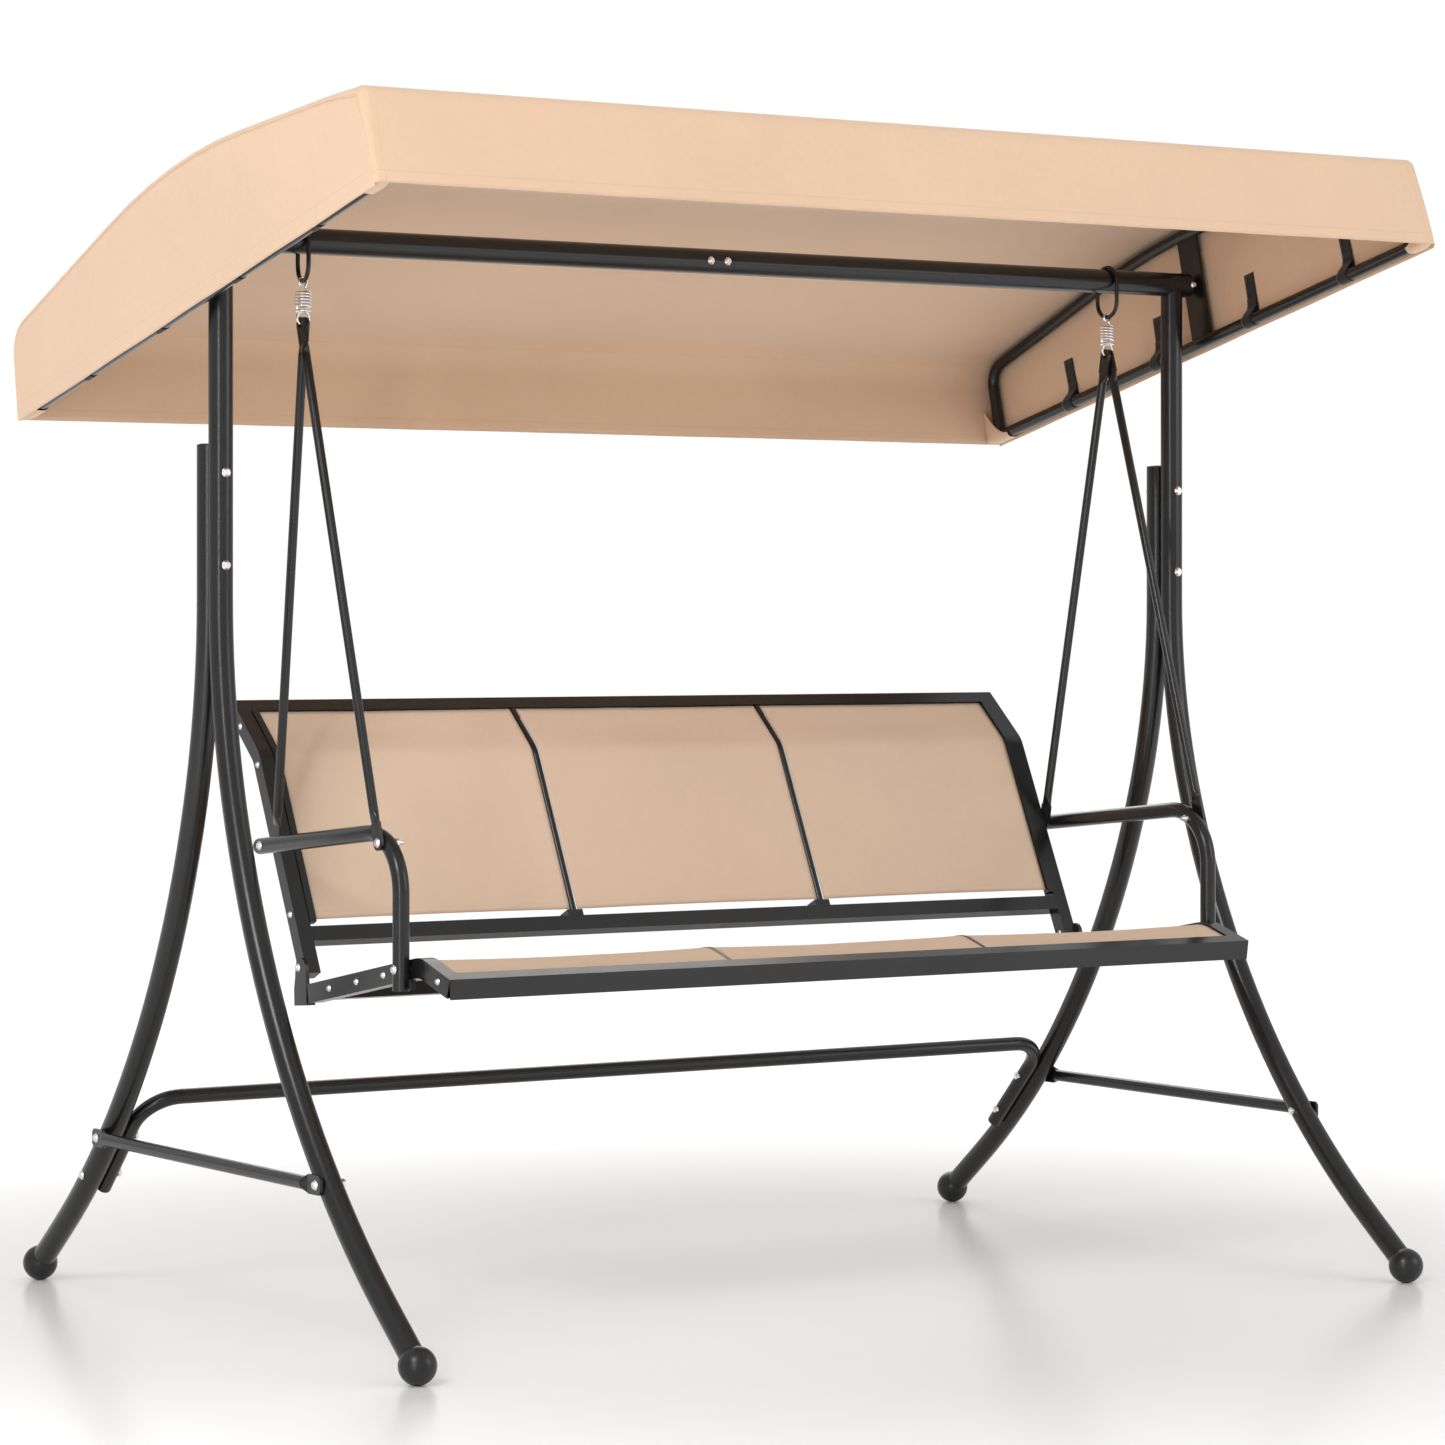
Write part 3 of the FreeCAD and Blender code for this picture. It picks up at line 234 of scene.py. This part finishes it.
def mathn(nt, op, a, b=None, c=None):
    n = nt.nodes.new("ShaderNodeMath")
    n.operation = op
    for i, v in enumerate((a, b, c)):
        if v is None:
            continue
        if isinstance(v, (int, float)):
            n.inputs[i].default_value = v
        else:
            nt.links.new(v, n.inputs[i])
    return n.outputs[0]


def grey(v):
    return (v, v, v, 1.0)


def painted(name, base, rough_lo, rough_hi, grain=900.0, bump=0.12, coat=0.0):
    m, nt, b = node_setup(name)
    tc = nt.nodes.new("ShaderNodeTexCoord").outputs["Object"]
    big = noise(nt, tc, 6.0, 4.0)
    fine = noise(nt, tc, grain, 2.0)
    c = ramp(nt, big, [(0.3, (base[0] * 0.82, base[1] * 0.82, base[2] * 0.82, 1)),
                       (0.7, (base[0] * 1.2, base[1] * 1.2, base[2] * 1.2, 1))])
    nt.links.new(c, b.inputs["Base Color"])
    mid = noise(nt, tc, 38.0, 5.0)
    r = nt.nodes.new("ShaderNodeMapRange")
    r.inputs["To Min"].default_value = rough_lo
    r.inputs["To Max"].default_value = rough_hi
    nt.links.new(mid, r.inputs["Value"])
    nt.links.new(r.outputs[0], b.inputs["Roughness"])
    bp = nt.nodes.new("ShaderNodeBump")
    bp.inputs["Strength"].default_value = bump
    bp.inputs["Distance"].default_value = 0.0002
    nt.links.new(fine, bp.inputs["Height"])
    nt.links.new(bp.outputs[0], b.inputs["Normal"])
    b.inputs["Metallic"].default_value = 0.0
    b.inputs["Specular IOR Level"].default_value = 0.42
    b.inputs["Coat Weight"].default_value = coat
    b.inputs["Coat Roughness"].default_value = 0.25
    return m


def metal(name, base, rough_lo, rough_hi, scale=220.0):
    m, nt, b = node_setup(name)
    tc = nt.nodes.new("ShaderNodeTexCoord").outputs["Object"]
    n1 = noise(nt, tc, scale, 3.0)
    c = ramp(nt, n1, [(0.3, (base[0] * 0.86, base[1] * 0.86, base[2] * 0.86, 1)), (0.7, (base[0], base[1], base[2], 1))])
    nt.links.new(c, b.inputs["Base Color"])
    r = nt.nodes.new("ShaderNodeMapRange")
    r.inputs["To Min"].default_value = rough_lo
    r.inputs["To Max"].default_value = rough_hi
    nt.links.new(n1, r.inputs["Value"])
    nt.links.new(r.outputs[0], b.inputs["Roughness"])
    b.inputs["Metallic"].default_value = 1.0
    bp = nt.nodes.new("ShaderNodeBump")
    bp.inputs["Strength"].default_value = 0.08
    bp.inputs["Distance"].default_value = 0.0001
    nt.links.new(noise(nt, tc, 1400.0, 2.0), bp.inputs["Height"])
    nt.links.new(bp.outputs[0], b.inputs["Normal"])
    return m


def cloth(name, base, weave, mesh_like=0.0, stitches=(), rough=0.85, sheen=0.25, through=0.0):
    """Woven cloth. weave is the thread pitch in metres; stitches are (axis, at, from, to) lines in cloth metres; from
    and to are not used, so each line runs full length.
    """
    m, nt, b = node_setup(name)
    uv = nt.nodes.new("ShaderNodeUVMap")
    uv.uv_map = "cloth"
    sep = nt.nodes.new("ShaderNodeSeparateXYZ")
    nt.links.new(uv.outputs[0], sep.inputs[0])
    u, v = sep.outputs[0], sep.outputs[1]
    k = 2 * math.pi / weave
    wu = mathn(nt, "SINE", mathn(nt, "MULTIPLY", u, k))
    wv = mathn(nt, "SINE", mathn(nt, "MULTIPLY", v, k))
    prod = mathn(nt, "MULTIPLY", wu, wv)
    h = mathn(nt, "MULTIPLY_ADD", prod, 0.5, 0.5)
    tc = nt.nodes.new("ShaderNodeTexCoord").outputs["Object"]
    blot = noise(nt, tc, 2.6, 4.0)
    slub = noise(nt, tc, 90.0, 3.0)
    mixv = mathn(nt, "ADD", mathn(nt, "MULTIPLY", blot, 0.7), mathn(nt, "MULTIPLY", slub, 0.3))
    c = ramp(nt, mixv, [(0.3, (base[0] * 0.94, base[1] * 0.935, base[2] * 0.93, 1)),
                        (0.7, (min(1, base[0] * 1.04), min(1, base[1] * 1.04), min(1, base[2] * 1.04), 1))])
    dark = nt.nodes.new("ShaderNodeMix")
    dark.data_type = "RGBA"
    dark.blend_type = "MULTIPLY"
    dark.inputs["Factor"].default_value = 1.0
    nt.links.new(c, dark.inputs[6])
    lowest = 1.0 - 0.07 - 0.22 * mesh_like
    wcol = ramp(nt, h, [(0.0, grey(lowest)), (1.0, grey(1.0))])
    nt.links.new(wcol, dark.inputs[7])
    colour = dark.outputs[2]
    height = h
    for axis, at, a0, a1 in stitches:
        along, across = (u, v) if axis == "u" else (v, u)
        d = mathn(nt, "ABSOLUTE", mathn(nt, "SUBTRACT", across, at))
        line = mathn(nt, "LESS_THAN", d, 0.0009)
        dash = mathn(nt, "GREATER_THAN", mathn(nt, "SINE", mathn(nt, "MULTIPLY", along, 2 * math.pi / 0.0042)), -0.35)
        on = mathn(nt, "MULTIPLY", line, dash)
        groove = mathn(nt, "MULTIPLY", mathn(nt, "LESS_THAN", d, 0.0022), 0.8)
        mx = nt.nodes.new("ShaderNodeMix")
        mx.data_type = "RGBA"
        nt.links.new(mathn(nt, "MULTIPLY", on, 0.4), mx.inputs["Factor"])
        nt.links.new(colour, mx.inputs[6])
        mx.inputs[7].default_value = (base[0] * 0.74, base[1] * 0.72, base[2] * 0.68, 1)
        colour = mx.outputs[2]
        height = mathn(nt, "SUBTRACT", height, mathn(nt, "MULTIPLY", groove, 1.2))
        height = mathn(nt, "ADD", height, mathn(nt, "MULTIPLY", on, 0.9))
    nt.links.new(colour, b.inputs["Base Color"])
    bp = nt.nodes.new("ShaderNodeBump")
    bp.inputs["Strength"].default_value = 0.35
    bp.inputs["Distance"].default_value = 0.0003
    nt.links.new(height, bp.inputs["Height"])
    nt.links.new(bp.outputs[0], b.inputs["Normal"])
    rr = nt.nodes.new("ShaderNodeMapRange")
    rr.inputs["To Min"].default_value = rough - 0.05
    rr.inputs["To Max"].default_value = min(1.0, rough + 0.07)
    nt.links.new(slub, rr.inputs["Value"])
    nt.links.new(rr.outputs[0], b.inputs["Roughness"])
    b.inputs["Sheen Weight"].default_value = sheen
    b.inputs["Sheen Roughness"].default_value = 0.5
    b.inputs["Specular IOR Level"].default_value = 0.25
    return m


BEIGE = (0.69, 0.480, 0.328)
SLING = (0.66, 0.475, 0.335)
# painted light: the back sling is the same mesh fabric as the seat sling, made lighter to stand in for the extra
# front light it catches
BACK_SLING_PAINTED_LIGHT = (0.76, 0.575, 0.435)
M_PAINT = painted("black_powder_coat", (0.0095, 0.0093, 0.0093), 0.20, 0.29, bump=0.08)
M_PLASTIC = painted("black_plastic", (0.009, 0.009, 0.0092), 0.26, 0.38, grain=500.0, bump=0.08)
M_ZINC = metal("zinc_plate", (0.80, 0.80, 0.81), 0.18, 0.32)
M_SPRING = metal("spring_wire", (0.86, 0.86, 0.87), 0.10, 0.22)
M_TAPE = cloth("black_webbing", (0.020, 0.019, 0.018), 0.0021, mesh_like=1.0, rough=0.7, sheen=0.15)

for n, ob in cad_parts.items():
    if n in ("ball_feet", "rear_leg_caps", "pivot_plugs"):
        mat = M_PLASTIC
    elif n in ("frame_bolts", "pivot_screws", "pivot_nuts", "stretcher_bolts", "seat_bolts", "sling_screws"):
        mat = M_ZINC
    elif n in ("springs", "spring_hooks"):
        mat = M_SPRING
    else:
        mat = M_PAINT
    ob.data.materials.clear()
    ob.data.materials.append(mat)
    for p in ob.data.polygons:
        p.material_index = 0

# ------------------------------------------------------------------ canopy
HALF = 0.9645
R_EDGE = 0.007
HEM_F, HEM_R = (-0.5840, -0.1090), (0.6235, -0.1080)
SH_F, SH_R = (-0.5690, 0.0385), (0.6100, 0.0350)
APEX = (0.0146, 0.1275)
prof = resample(fillet([HEM_F, SH_F, APEX, SH_R, HEM_R], [0.0165, 1.450, 0.056], 3.0), 0.0075)
TOTAL = prof[-1][2]
S_FRONT = 0.147         # cloth distance from the front hem to the front top edge
S_REAR = TOTAL - 0.143

n_flat = 96
cols_x = []             # (-1 or 1, angle) on the rounded sides, (0, fraction) between them
for k in range(8):
    cols_x.append((-1, math.pi / 2 * (1 - k / 8.0)))
for k in range(n_flat + 1):
    cols_x.append((0, k / float(n_flat)))
for k in range(1, 9):
    cols_x.append((1, math.pi / 2 * k / 8.0))


def edge_radius(s):
    return R_EDGE + 0.008 * math.exp(-((s - S_FRONT) / 0.06) ** 2)


def across(j, s):
    """Position across the cloth and how far the rounded side dips there."""
    kind, v = cols_x[j]
    r = edge_radius(s)
    if kind == 0:
        return (-HALF + r + (2 * HALF - 2 * r) * v, 0.0)
    return (kind * (HALF - r + r * math.sin(v)), r * (1 - math.cos(v)))


xs = [across(j, 1.0) for j in range(len(cols_x))]
arc = [0.0]
for a, b in zip(xs, xs[1:]):
    arc.append(arc[-1] + math.hypot(b[0] - a[0], b[1] - a[1]))
HALF_ARC = arc[-1] / 2


def canopy_point(i, j):
    y, z, s, ny, nz = prof[i]
    x, inset = across(j, s)
    w = max(0.0, 1.0 - (x / 0.952) ** 2)
    top = smooth(S_FRONT - 0.01, S_FRONT + 0.16, s) * (1 - smooth(S_REAR - 0.16, S_REAR + 0.01, s))
    # the cloth hangs a little between the two side frames
    d = inset + 0.0085 * top * w ** 1.4
    # faint draw lines that run in from the side frames
    pull = smooth(0.45, 0.95, abs(x))
    d += 0.0009 * top * w * ripple(x * 5.0, s * 9.0, 0.4)
    d += 0.0010 * top * pull * math.sin(s * 38.0 + (2.0 if x > 0 else 0.0)) * w ** 0.5 * 0.6
    # skirts: a slight inward belly between the corners and a soft hem
    fr = 1 - smooth(S_FRONT - 0.03, S_FRONT, s)
    re = smooth(S_REAR, S_REAR + 0.03, s)
    hang = (1 - s / S_FRONT) if s < S_FRONT else ((s - S_REAR) / (TOTAL - S_REAR) if s > S_REAR else 0.0)
    side = min(1.0, (HALF - abs(x)) / 0.05)
    d += (0.0022 * fr + 0.004 * re) * math.sin(math.pi * min(1.0, 1.0 - hang * 0.5)) * w * side
    d += 0.0013 * (fr + re) * hang * side * ripple(x * 6.5, s * 4.0, 1.9)
    p = canopy(x, y + ny * d, z + nz * d)
    return p


cover = grid("canopy_cloth", len(prof), len(xs), canopy_point, lambda i, j: (arc[j] - HALF_ARC, prof[i][2]))
M_COVER = cloth("canopy_cloth", BEIGE, 0.0016, stitches=(
    ("u", 0.018, -1, 1), ("u", TOTAL - 0.018, -1, 1), ("u", S_FRONT + 0.004, -1, 1), ("u", S_REAR - 0.004, -1, 1),
    ("v", -HALF + 0.016, 0, 1), ("v", HALF - 0.016, 0, 1)), sheen=0.3)
cover.data.materials.append(M_COVER)
thicken(cover, 0.0012, -1.0)
apply_all(cover)
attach(cover, "canopy")
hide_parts("canopy_cover")

# end panels: one gently bellied sheet each, edge set in under the cover's rounded side
M_END = cloth("canopy_end_cloth", BEIGE, 0.0016, stitches=(("u", -0.086, -1, 1),), sheen=0.3)
inner = [(y + ny * edge_radius(s), z + nz * edge_radius(s)) for y, z, s, ny, nz in prof]
edge = [p for p in inner]
HEM_Z = -0.1130


def crossing(pts, z0):
    for a, b in zip(pts, pts[1:]):
        if (a[1] - z0) * (b[1] - z0) <= 0 and a[1] != b[1]:
            f = (z0 - a[1]) / (b[1] - a[1])
            return (a[0] + (b[0] - a[0]) * f, z0)


ef = crossing(edge[:20], HEM_Z) or edge[0]
er = crossing(edge[-20:], HEM_Z) or edge[-1]
upper = [ef] + [p for p in edge if p[1] > HEM_Z + 0.002] + [er]
for side, sx in (("left", -1), ("right", 1)):
    rows, cols = 26, len(upper)
    top_len = [0.0]
    for a, b in zip(upper, upper[1:]):
        top_len.append(top_len[-1] + math.hypot(b[0] - a[0], b[1] - a[1]))

    def end_point(i, j, sx=sx):
        f = i / (rows - 1.0)
        base = (ef[0] + (er[0] - ef[0]) * (upper[j][0] - ef[0]) / (er[0] - ef[0]), HEM_Z)
        base = (max(ef[0], min(er[0], base[0])), HEM_Z)
        y = base[0] + (upper[j][0] - base[0]) * f
        z = base[1] + (upper[j][1] - base[1]) * f
        rim = min(1.0, f * 4.0, (1 - f) * 4.0) if 0 < f < 1 else 0.0
        ends = min(1.0, (y - ef[0]) / 0.05, (er[0] - y) / 0.05)
        ends = max(0.0, ends)
        d = -0.0012 * rim * ends + 0.0010 * ripple(y * 8.0, z * 12.0, 3.0 + sx) * rim * ends
        # hem waves a little between the straps
        d += 0.0008 * (1 - smooth(0.0, 0.35, f)) * ends * math.cos(y * 24.0)
        return canopy(sx * (HALF - 0.0006 + d), y, z)

    pane = grid("canopy_end_cloth_" + side, rows, cols, end_point,
                lambda i, j: (upper[j][0], HEM_Z + (upper[j][1] - HEM_Z) * i / (rows - 1.0)))
    if sx < 0:
        pane.data.flip_normals()
    pane.data.materials.append(M_END)
    thicken(pane, 0.0010, 0.0)
    apply_all(pane)
    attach(pane, "canopy")
    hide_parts("canopy_end_panel_" + side)
    # piping along the seam between cover and end panel
    line = [canopy(sx * (HALF - 0.0002), y + ny * (edge_radius(s) + 0.0002), z + nz * (edge_radius(s) + 0.0002)) for y, z, s, ny, nz in prof[2:-2]]
    pipe = rope("canopy_seam_" + side, line, 0.0011, 8)
    pipe.data.materials.append(M_COVER)
    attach(pipe, "canopy")

# straps that hold the end panels to the bottom tubes
TX, TZ = 0.950, -0.100
for sx, side in ((-1, "left"), (1, "right")):
    for k, yc in enumerate((-0.378, -0.129, 0.125, 0.378)):
        path = [(0.9613, -0.018), (0.9613, -0.036), (0.9612, -0.055), (0.9611, -0.074)]
        path += [(0.9613 - 0.0003 * q, -0.080 - 0.004 * q) for q in range(1, 4)]
        for q in range(0, 15):
            a = math.radians(25 - q * 18.5)
            path.append((TX + 0.0107 * math.cos(a), TZ + 0.0107 * math.sin(a)))
        path += [(0.9462, -0.0872), (0.9512, -0.0830), (0.9568, -0.0770), (0.9594, -0.0690), (0.9598, -0.0600)]
        dist = [0.0]
        for a, b in zip(path, path[1:]):
            dist.append(dist[-1] + math.hypot(b[0] - a[0], b[1] - a[1]))
        lean = 0.004 * math.sin(k * 2.3 + sx)

        def strap_point(i, j, path=path, yc=yc, lean=lean, sx=sx):
            f = j / 6.0 - 0.5
            tail = max(0.0, 1 - i / 4.0)
            return canopy(sx * (path[i][0] - 0.0005 * tail * abs(math.sin(f * 3.0))), yc + f * 0.025 + lean * tail, path[i][1])

        st = grid("canopy_strap_%s_%d" % (side, k + 1), len(path), 7, strap_point,
                  lambda i, j, dist=dist: (j / 6.0 * 0.025, dist[i]))
        st.data.materials.append(M_TAPE)
        thicken(st, 0.0009, 0.0)
        apply_all(st)
        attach(st, "canopy")
        if k == 0 and sx == -1:
            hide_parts("canopy_straps")

# cloth corners folded up round the tube ends
first = True
for sx, side in ((-1, "left"), (1, "right")):
    for nm, y_in, y_out in (("front", -0.538, -0.5826), ("rear", 0.556, 0.6219)):
        rows, cols = 22, 15

        def pocket_point(i, j, y_in=y_in, y_out=y_out, sx=sx):
            f = j / (cols - 1.0)
            rise = 0.004 + 0.058 * f ** 1.75
            path = [(0.9627, -0.1060), (0.9612, -0.1100), (0.9560, -0.1112), (0.9500, -0.1114),
                    (0.9440, -0.1110), (0.9396, -0.1080), (0.9383, -0.1030)]
            t = i / (rows - 1.0) * 9.0
            if t <= 6.0:
                a = int(min(5, t))
                g = t - a
                x = path[a][0] + (path[a + 1][0] - path[a][0]) * g
                z = path[a][1] + (path[a + 1][1] - path[a][1]) * g
            else:
                g = (t - 6.0) / 3.0
                x = 0.9383 - 0.0012 * math.sin(math.pi * g) * (1 - f)
                z = -0.1030 + (rise - 0.004) * g
            # past the end of the tube the floor of the corner rises to the hem
            z += 0.0038 * smooth(0.62, 1.0, f) * (1.0 if z < -0.107 else 0.0)
            over = max(0.0, min(1.0, (x - (HALF - R_EDGE)) / R_EDGE))
            dip = R_EDGE * (1 - math.sqrt(1 - over * over))
            # the outer edge follows the inner face of the skirt, which leans with height
            lean = (z + 0.1085) * (0.100 if y_out < 0 else -0.093)
            y_lim = y_out + (dip if y_out < 0 else -dip) + lean
            y = y_in + (y_lim - y_in) * f
            return canopy(sx * (x + 0.0003 * ripple(y * 60, z * 40, 1.0)), y, z)

        pk = grid("canopy_pocket_%s_%s" % (nm, side), rows, cols, pocket_point,
                  lambda i, j: (j * 0.0043, i * 0.0045))
        pk.data.materials.append(M_END)
        thicken(pk, 0.0010, 0.0)
        sub = pk.modifiers.new("soften", "SUBSURF")
        sub.levels = sub.render_levels = 1
        apply_all(pk)
        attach(pk, "canopy")
        if first:
            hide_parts("canopy_corner_pockets")
            first = False

# ------------------------------------------------------------------ slings
M_SEAT = cloth("seat_sling_mesh", SLING, 0.0020, mesh_like=0.7, rough=0.72, sheen=0.15,
               stitches=(("u", 0.010, -1, 1),))
# painted light: the back sling uses the lightened copy of the sling colour
M_BACK_SLING_PAINTED_LIGHT = cloth("back_sling_mesh", BACK_SLING_PAINTED_LIGHT, 0.0020, mesh_like=0.7, rough=0.72, sheen=0.15,
               stitches=(("u", 0.011, -1, 1),))
seat_line = resample(fillet([(-0.3739, 0.5428), (-0.3115, 0.5620), (0.0042, 0.5054)], [0.070], 3.0), 0.008)
SX = 0.738 - 0.024 - 0.0005
spans = {"left": (-SX, -0.2389), "middle": (-0.2331, 0.2331), "right": (0.2389, SX)}
for nm, (x0, x1) in spans.items():
    cols = 61
    L = seat_line[-1][2]

    def seat_point(i, j, x0=x0, x1=x1, L=L, nm=nm):
        y, z, s, ny, nz = seat_line[i]
        f = j / (cols - 1.0)
        x = x0 + (x1 - x0) * f
        a = 1 - (2 * f - 1) ** 2
        b = 1 - (2 * s / L - 1) ** 2
        ridge = math.exp(-((s - 0.066) / 0.05) ** 2)
        d = 0.0085 * a ** 0.8 * b ** 0.7 * (1 - 0.75 * ridge) + 0.0016 * a * ridge
        d += 0.0007 * a * b * ripple(x * 7, s * 9, len(nm) * 1.0)
        return seat(x, y + ny * d, z + nz * d)

    sl = grid("seat_cloth_" + nm, len(seat_line), cols, seat_point,
              lambda i, j, x0=x0, x1=x1: (x0 + (x1 - x0) * j / 60.0, seat_line[i][2]))
    sl.data.materials.append(M_SEAT)
    thicken(sl, 0.0014, -1.0)
    apply_all(sl)
    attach(sl, "seat")
    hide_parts("seat_sling_" + nm)

BBp, BKp, BTp = (0.0435, 0.5195), (0.2002, 0.8500), (0.2900, 0.9282)
upd = (0.7541, 0.6567)
top_end = (BTp[0] - upd[0] * 0.0246, BTp[1] - upd[1] * 0.0246)
lo_end = (BBp[0] + (0.599 - BBp[1]) * 0.4741, 0.599)
back_line = resample(fillet([lo_end, BKp, top_end], [0.045], 3.0), 0.008)
BX = 0.7324 - 0.024 - 0.0115
spans = {"left": (-BX, -0.2425), "middle": (-0.2295, 0.2295), "right": (0.2425, BX)}
for nm, (x0, x1) in spans.items():
    cols = 61
    L = back_line[-1][2]

    def back_point(i, j, x0=x0, x1=x1, L=L, nm=nm):
        y, z, s, ny, nz = back_line[i]
        f = j / (cols - 1.0)
        x = x0 + (x1 - x0) * f
        a = 1 - (2 * f - 1) ** 2
        b = smooth(-0.15, 0.5, s / L) * (1 - smooth(0.86, 1.0, s / L) * 0.9)
        kink = math.exp(-((s - 0.277) / 0.045) ** 2)
        d = 0.0030 + 0.0075 * a ** 0.8 * b * (1 - 0.65 * kink) + 0.0007 * a * ripple(x * 6, s * 8, 2.0 + len(nm))
        # the bottom hem draws in a little and bows between its ends
        low = 1 - smooth(0.0, 0.16, s / L)
        rise = 0.0018 * a * low
        xx = x + (0.0006 if f < 0.5 else -0.0006) * low * (1 - a) ** 2
        return seat(xx, y + ny * d, z + nz * d + rise)

    sl = grid("back_cloth_" + nm, len(back_line), cols, back_point,
              lambda i, j, x0=x0, x1=x1: (x0 + (x1 - x0) * j / 60.0, back_line[i][2]))
    sl.data.materials.append(M_BACK_SLING_PAINTED_LIGHT)
    thicken(sl, 0.0014, -1.0)
    apply_all(sl)
    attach(sl, "seat")
    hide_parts("back_sling_" + nm)

# ------------------------------------------------------- floor, light, camera
bpy.ops.mesh.primitive_plane_add(size=60, location=(0, 0, 0))
floor = bpy.context.active_object
floor.name = "studio_floor"
m, nt, b = node_setup("studio_floor")
tc = nt.nodes.new("ShaderNodeTexCoord").outputs["Object"]
# painted shadow: a darker, mottled grey floor colour near the object stands in for its soft shadow
floor_painted_shadow = ramp(nt, noise(nt, tc, 0.7, 3.0), [(0.3, (0.845, 0.84, 0.83, 1)), (0.7, (0.875, 0.87, 0.862, 1))])
# painted shadow and glow: the floor gets paler away from the object, fading the painted shadow out
length = nt.nodes.new("ShaderNodeVectorMath")
length.operation = "LENGTH"
nt.links.new(tc, length.inputs[0])
painted_shadow_to_glow = nt.nodes.new("ShaderNodeMapRange")
painted_shadow_to_glow.interpolation_type = "SMOOTHSTEP"
painted_shadow_to_glow.inputs["From Min"].default_value = 0.9
painted_shadow_to_glow.inputs["From Max"].default_value = 2.8
nt.links.new(length.outputs["Value"], painted_shadow_to_glow.inputs["Value"])
pale = nt.nodes.new("ShaderNodeMix")
pale.data_type = "RGBA"
nt.links.new(painted_shadow_to_glow.outputs[0], pale.inputs["Factor"])
nt.links.new(floor_painted_shadow, pale.inputs[6])
pale.inputs[7].default_value = (1.0, 1.0, 1.0, 1)
nt.links.new(pale.outputs[2], b.inputs["Base Color"])
# painted glow: away from the object the floor also emits light, though it is no lamp
b.inputs["Emission Color"].default_value = (1.0, 1.0, 1.0, 1)
nt.links.new(mathn(nt, "MULTIPLY", painted_shadow_to_glow.outputs[0], 0.3), b.inputs["Emission Strength"])
b.inputs["Roughness"].default_value = 0.22
b.inputs["Specular IOR Level"].default_value = 0.35
floor.data.materials.append(m)

world = bpy.data.worlds.new("studio")
bpy.context.scene.world = world
world.use_nodes = True
wn = world.node_tree
bg = wn.nodes.get("Background") or wn.nodes.new("ShaderNodeBackground")
bg.inputs[0].default_value = (1.0, 1.0, 1.0, 1)
# pure white behind the object, a little less light from it
path_node = wn.nodes.new("ShaderNodeLightPath")
strength = mathn(wn, "MULTIPLY_ADD", path_node.outputs["Is Camera Ray"], 0.28, 0.74)
wn.links.new(strength, bg.inputs[1])


def area_light(name, loc, target, size, power, size_y=None, colour=(1, 1, 1)):
    d = bpy.data.lights.new(name, "AREA")
    d.energy = power
    d.color = colour
    d.shape = "RECTANGLE"
    d.size = size
    d.size_y = size_y or size
    o = bpy.data.objects.new(name, d)
    bpy.context.scene.collection.objects.link(o)
    o.location = loc
    o.rotation_euler = (Vector(target) - Vector(loc)).to_track_quat("-Z", "Y").to_euler()
    return o


area_light("key", (-4.8, -3.2, 4.6), (0, 0, 0.9), 2.0, 145, 2.0)
area_light("strip", (-5.2, -4.2, 1.6), (0, 0, 1.0), 0.35, 60, 2.8)
area_light("fill", (3.6, -5.0, 2.6), (0, 0, 1.0), 3.0, 60, 3.0)
area_light("rim", (2.5, 5.0, 3.8), (0, 0, 1.0), 3.0, 70, 3.0)

cam = bpy.data.cameras.new("photo_camera")
cam.sensor_width = 36.0
cam.lens = 36.0 * 4621.27 / 1445.0
cam.shift_x = 0.0
cam.shift_y = -103.89 / 1445.0
cam.clip_start, cam.clip_end = 0.1, 200.0
co = bpy.data.objects.new("photo_camera", cam)
bpy.context.scene.collection.objects.link(co)
co.location = (-4.03255, -6.14114 + DY, 1.05515)
co.rotation_euler = (math.radians(90.0), 0.0, math.radians(-33.2227))
bpy.context.scene.camera = co
bpy.context.scene.view_settings.view_transform = "Standard"
bpy.context.scene.view_settings.look = "None"

bpy.context.view_layer.update()
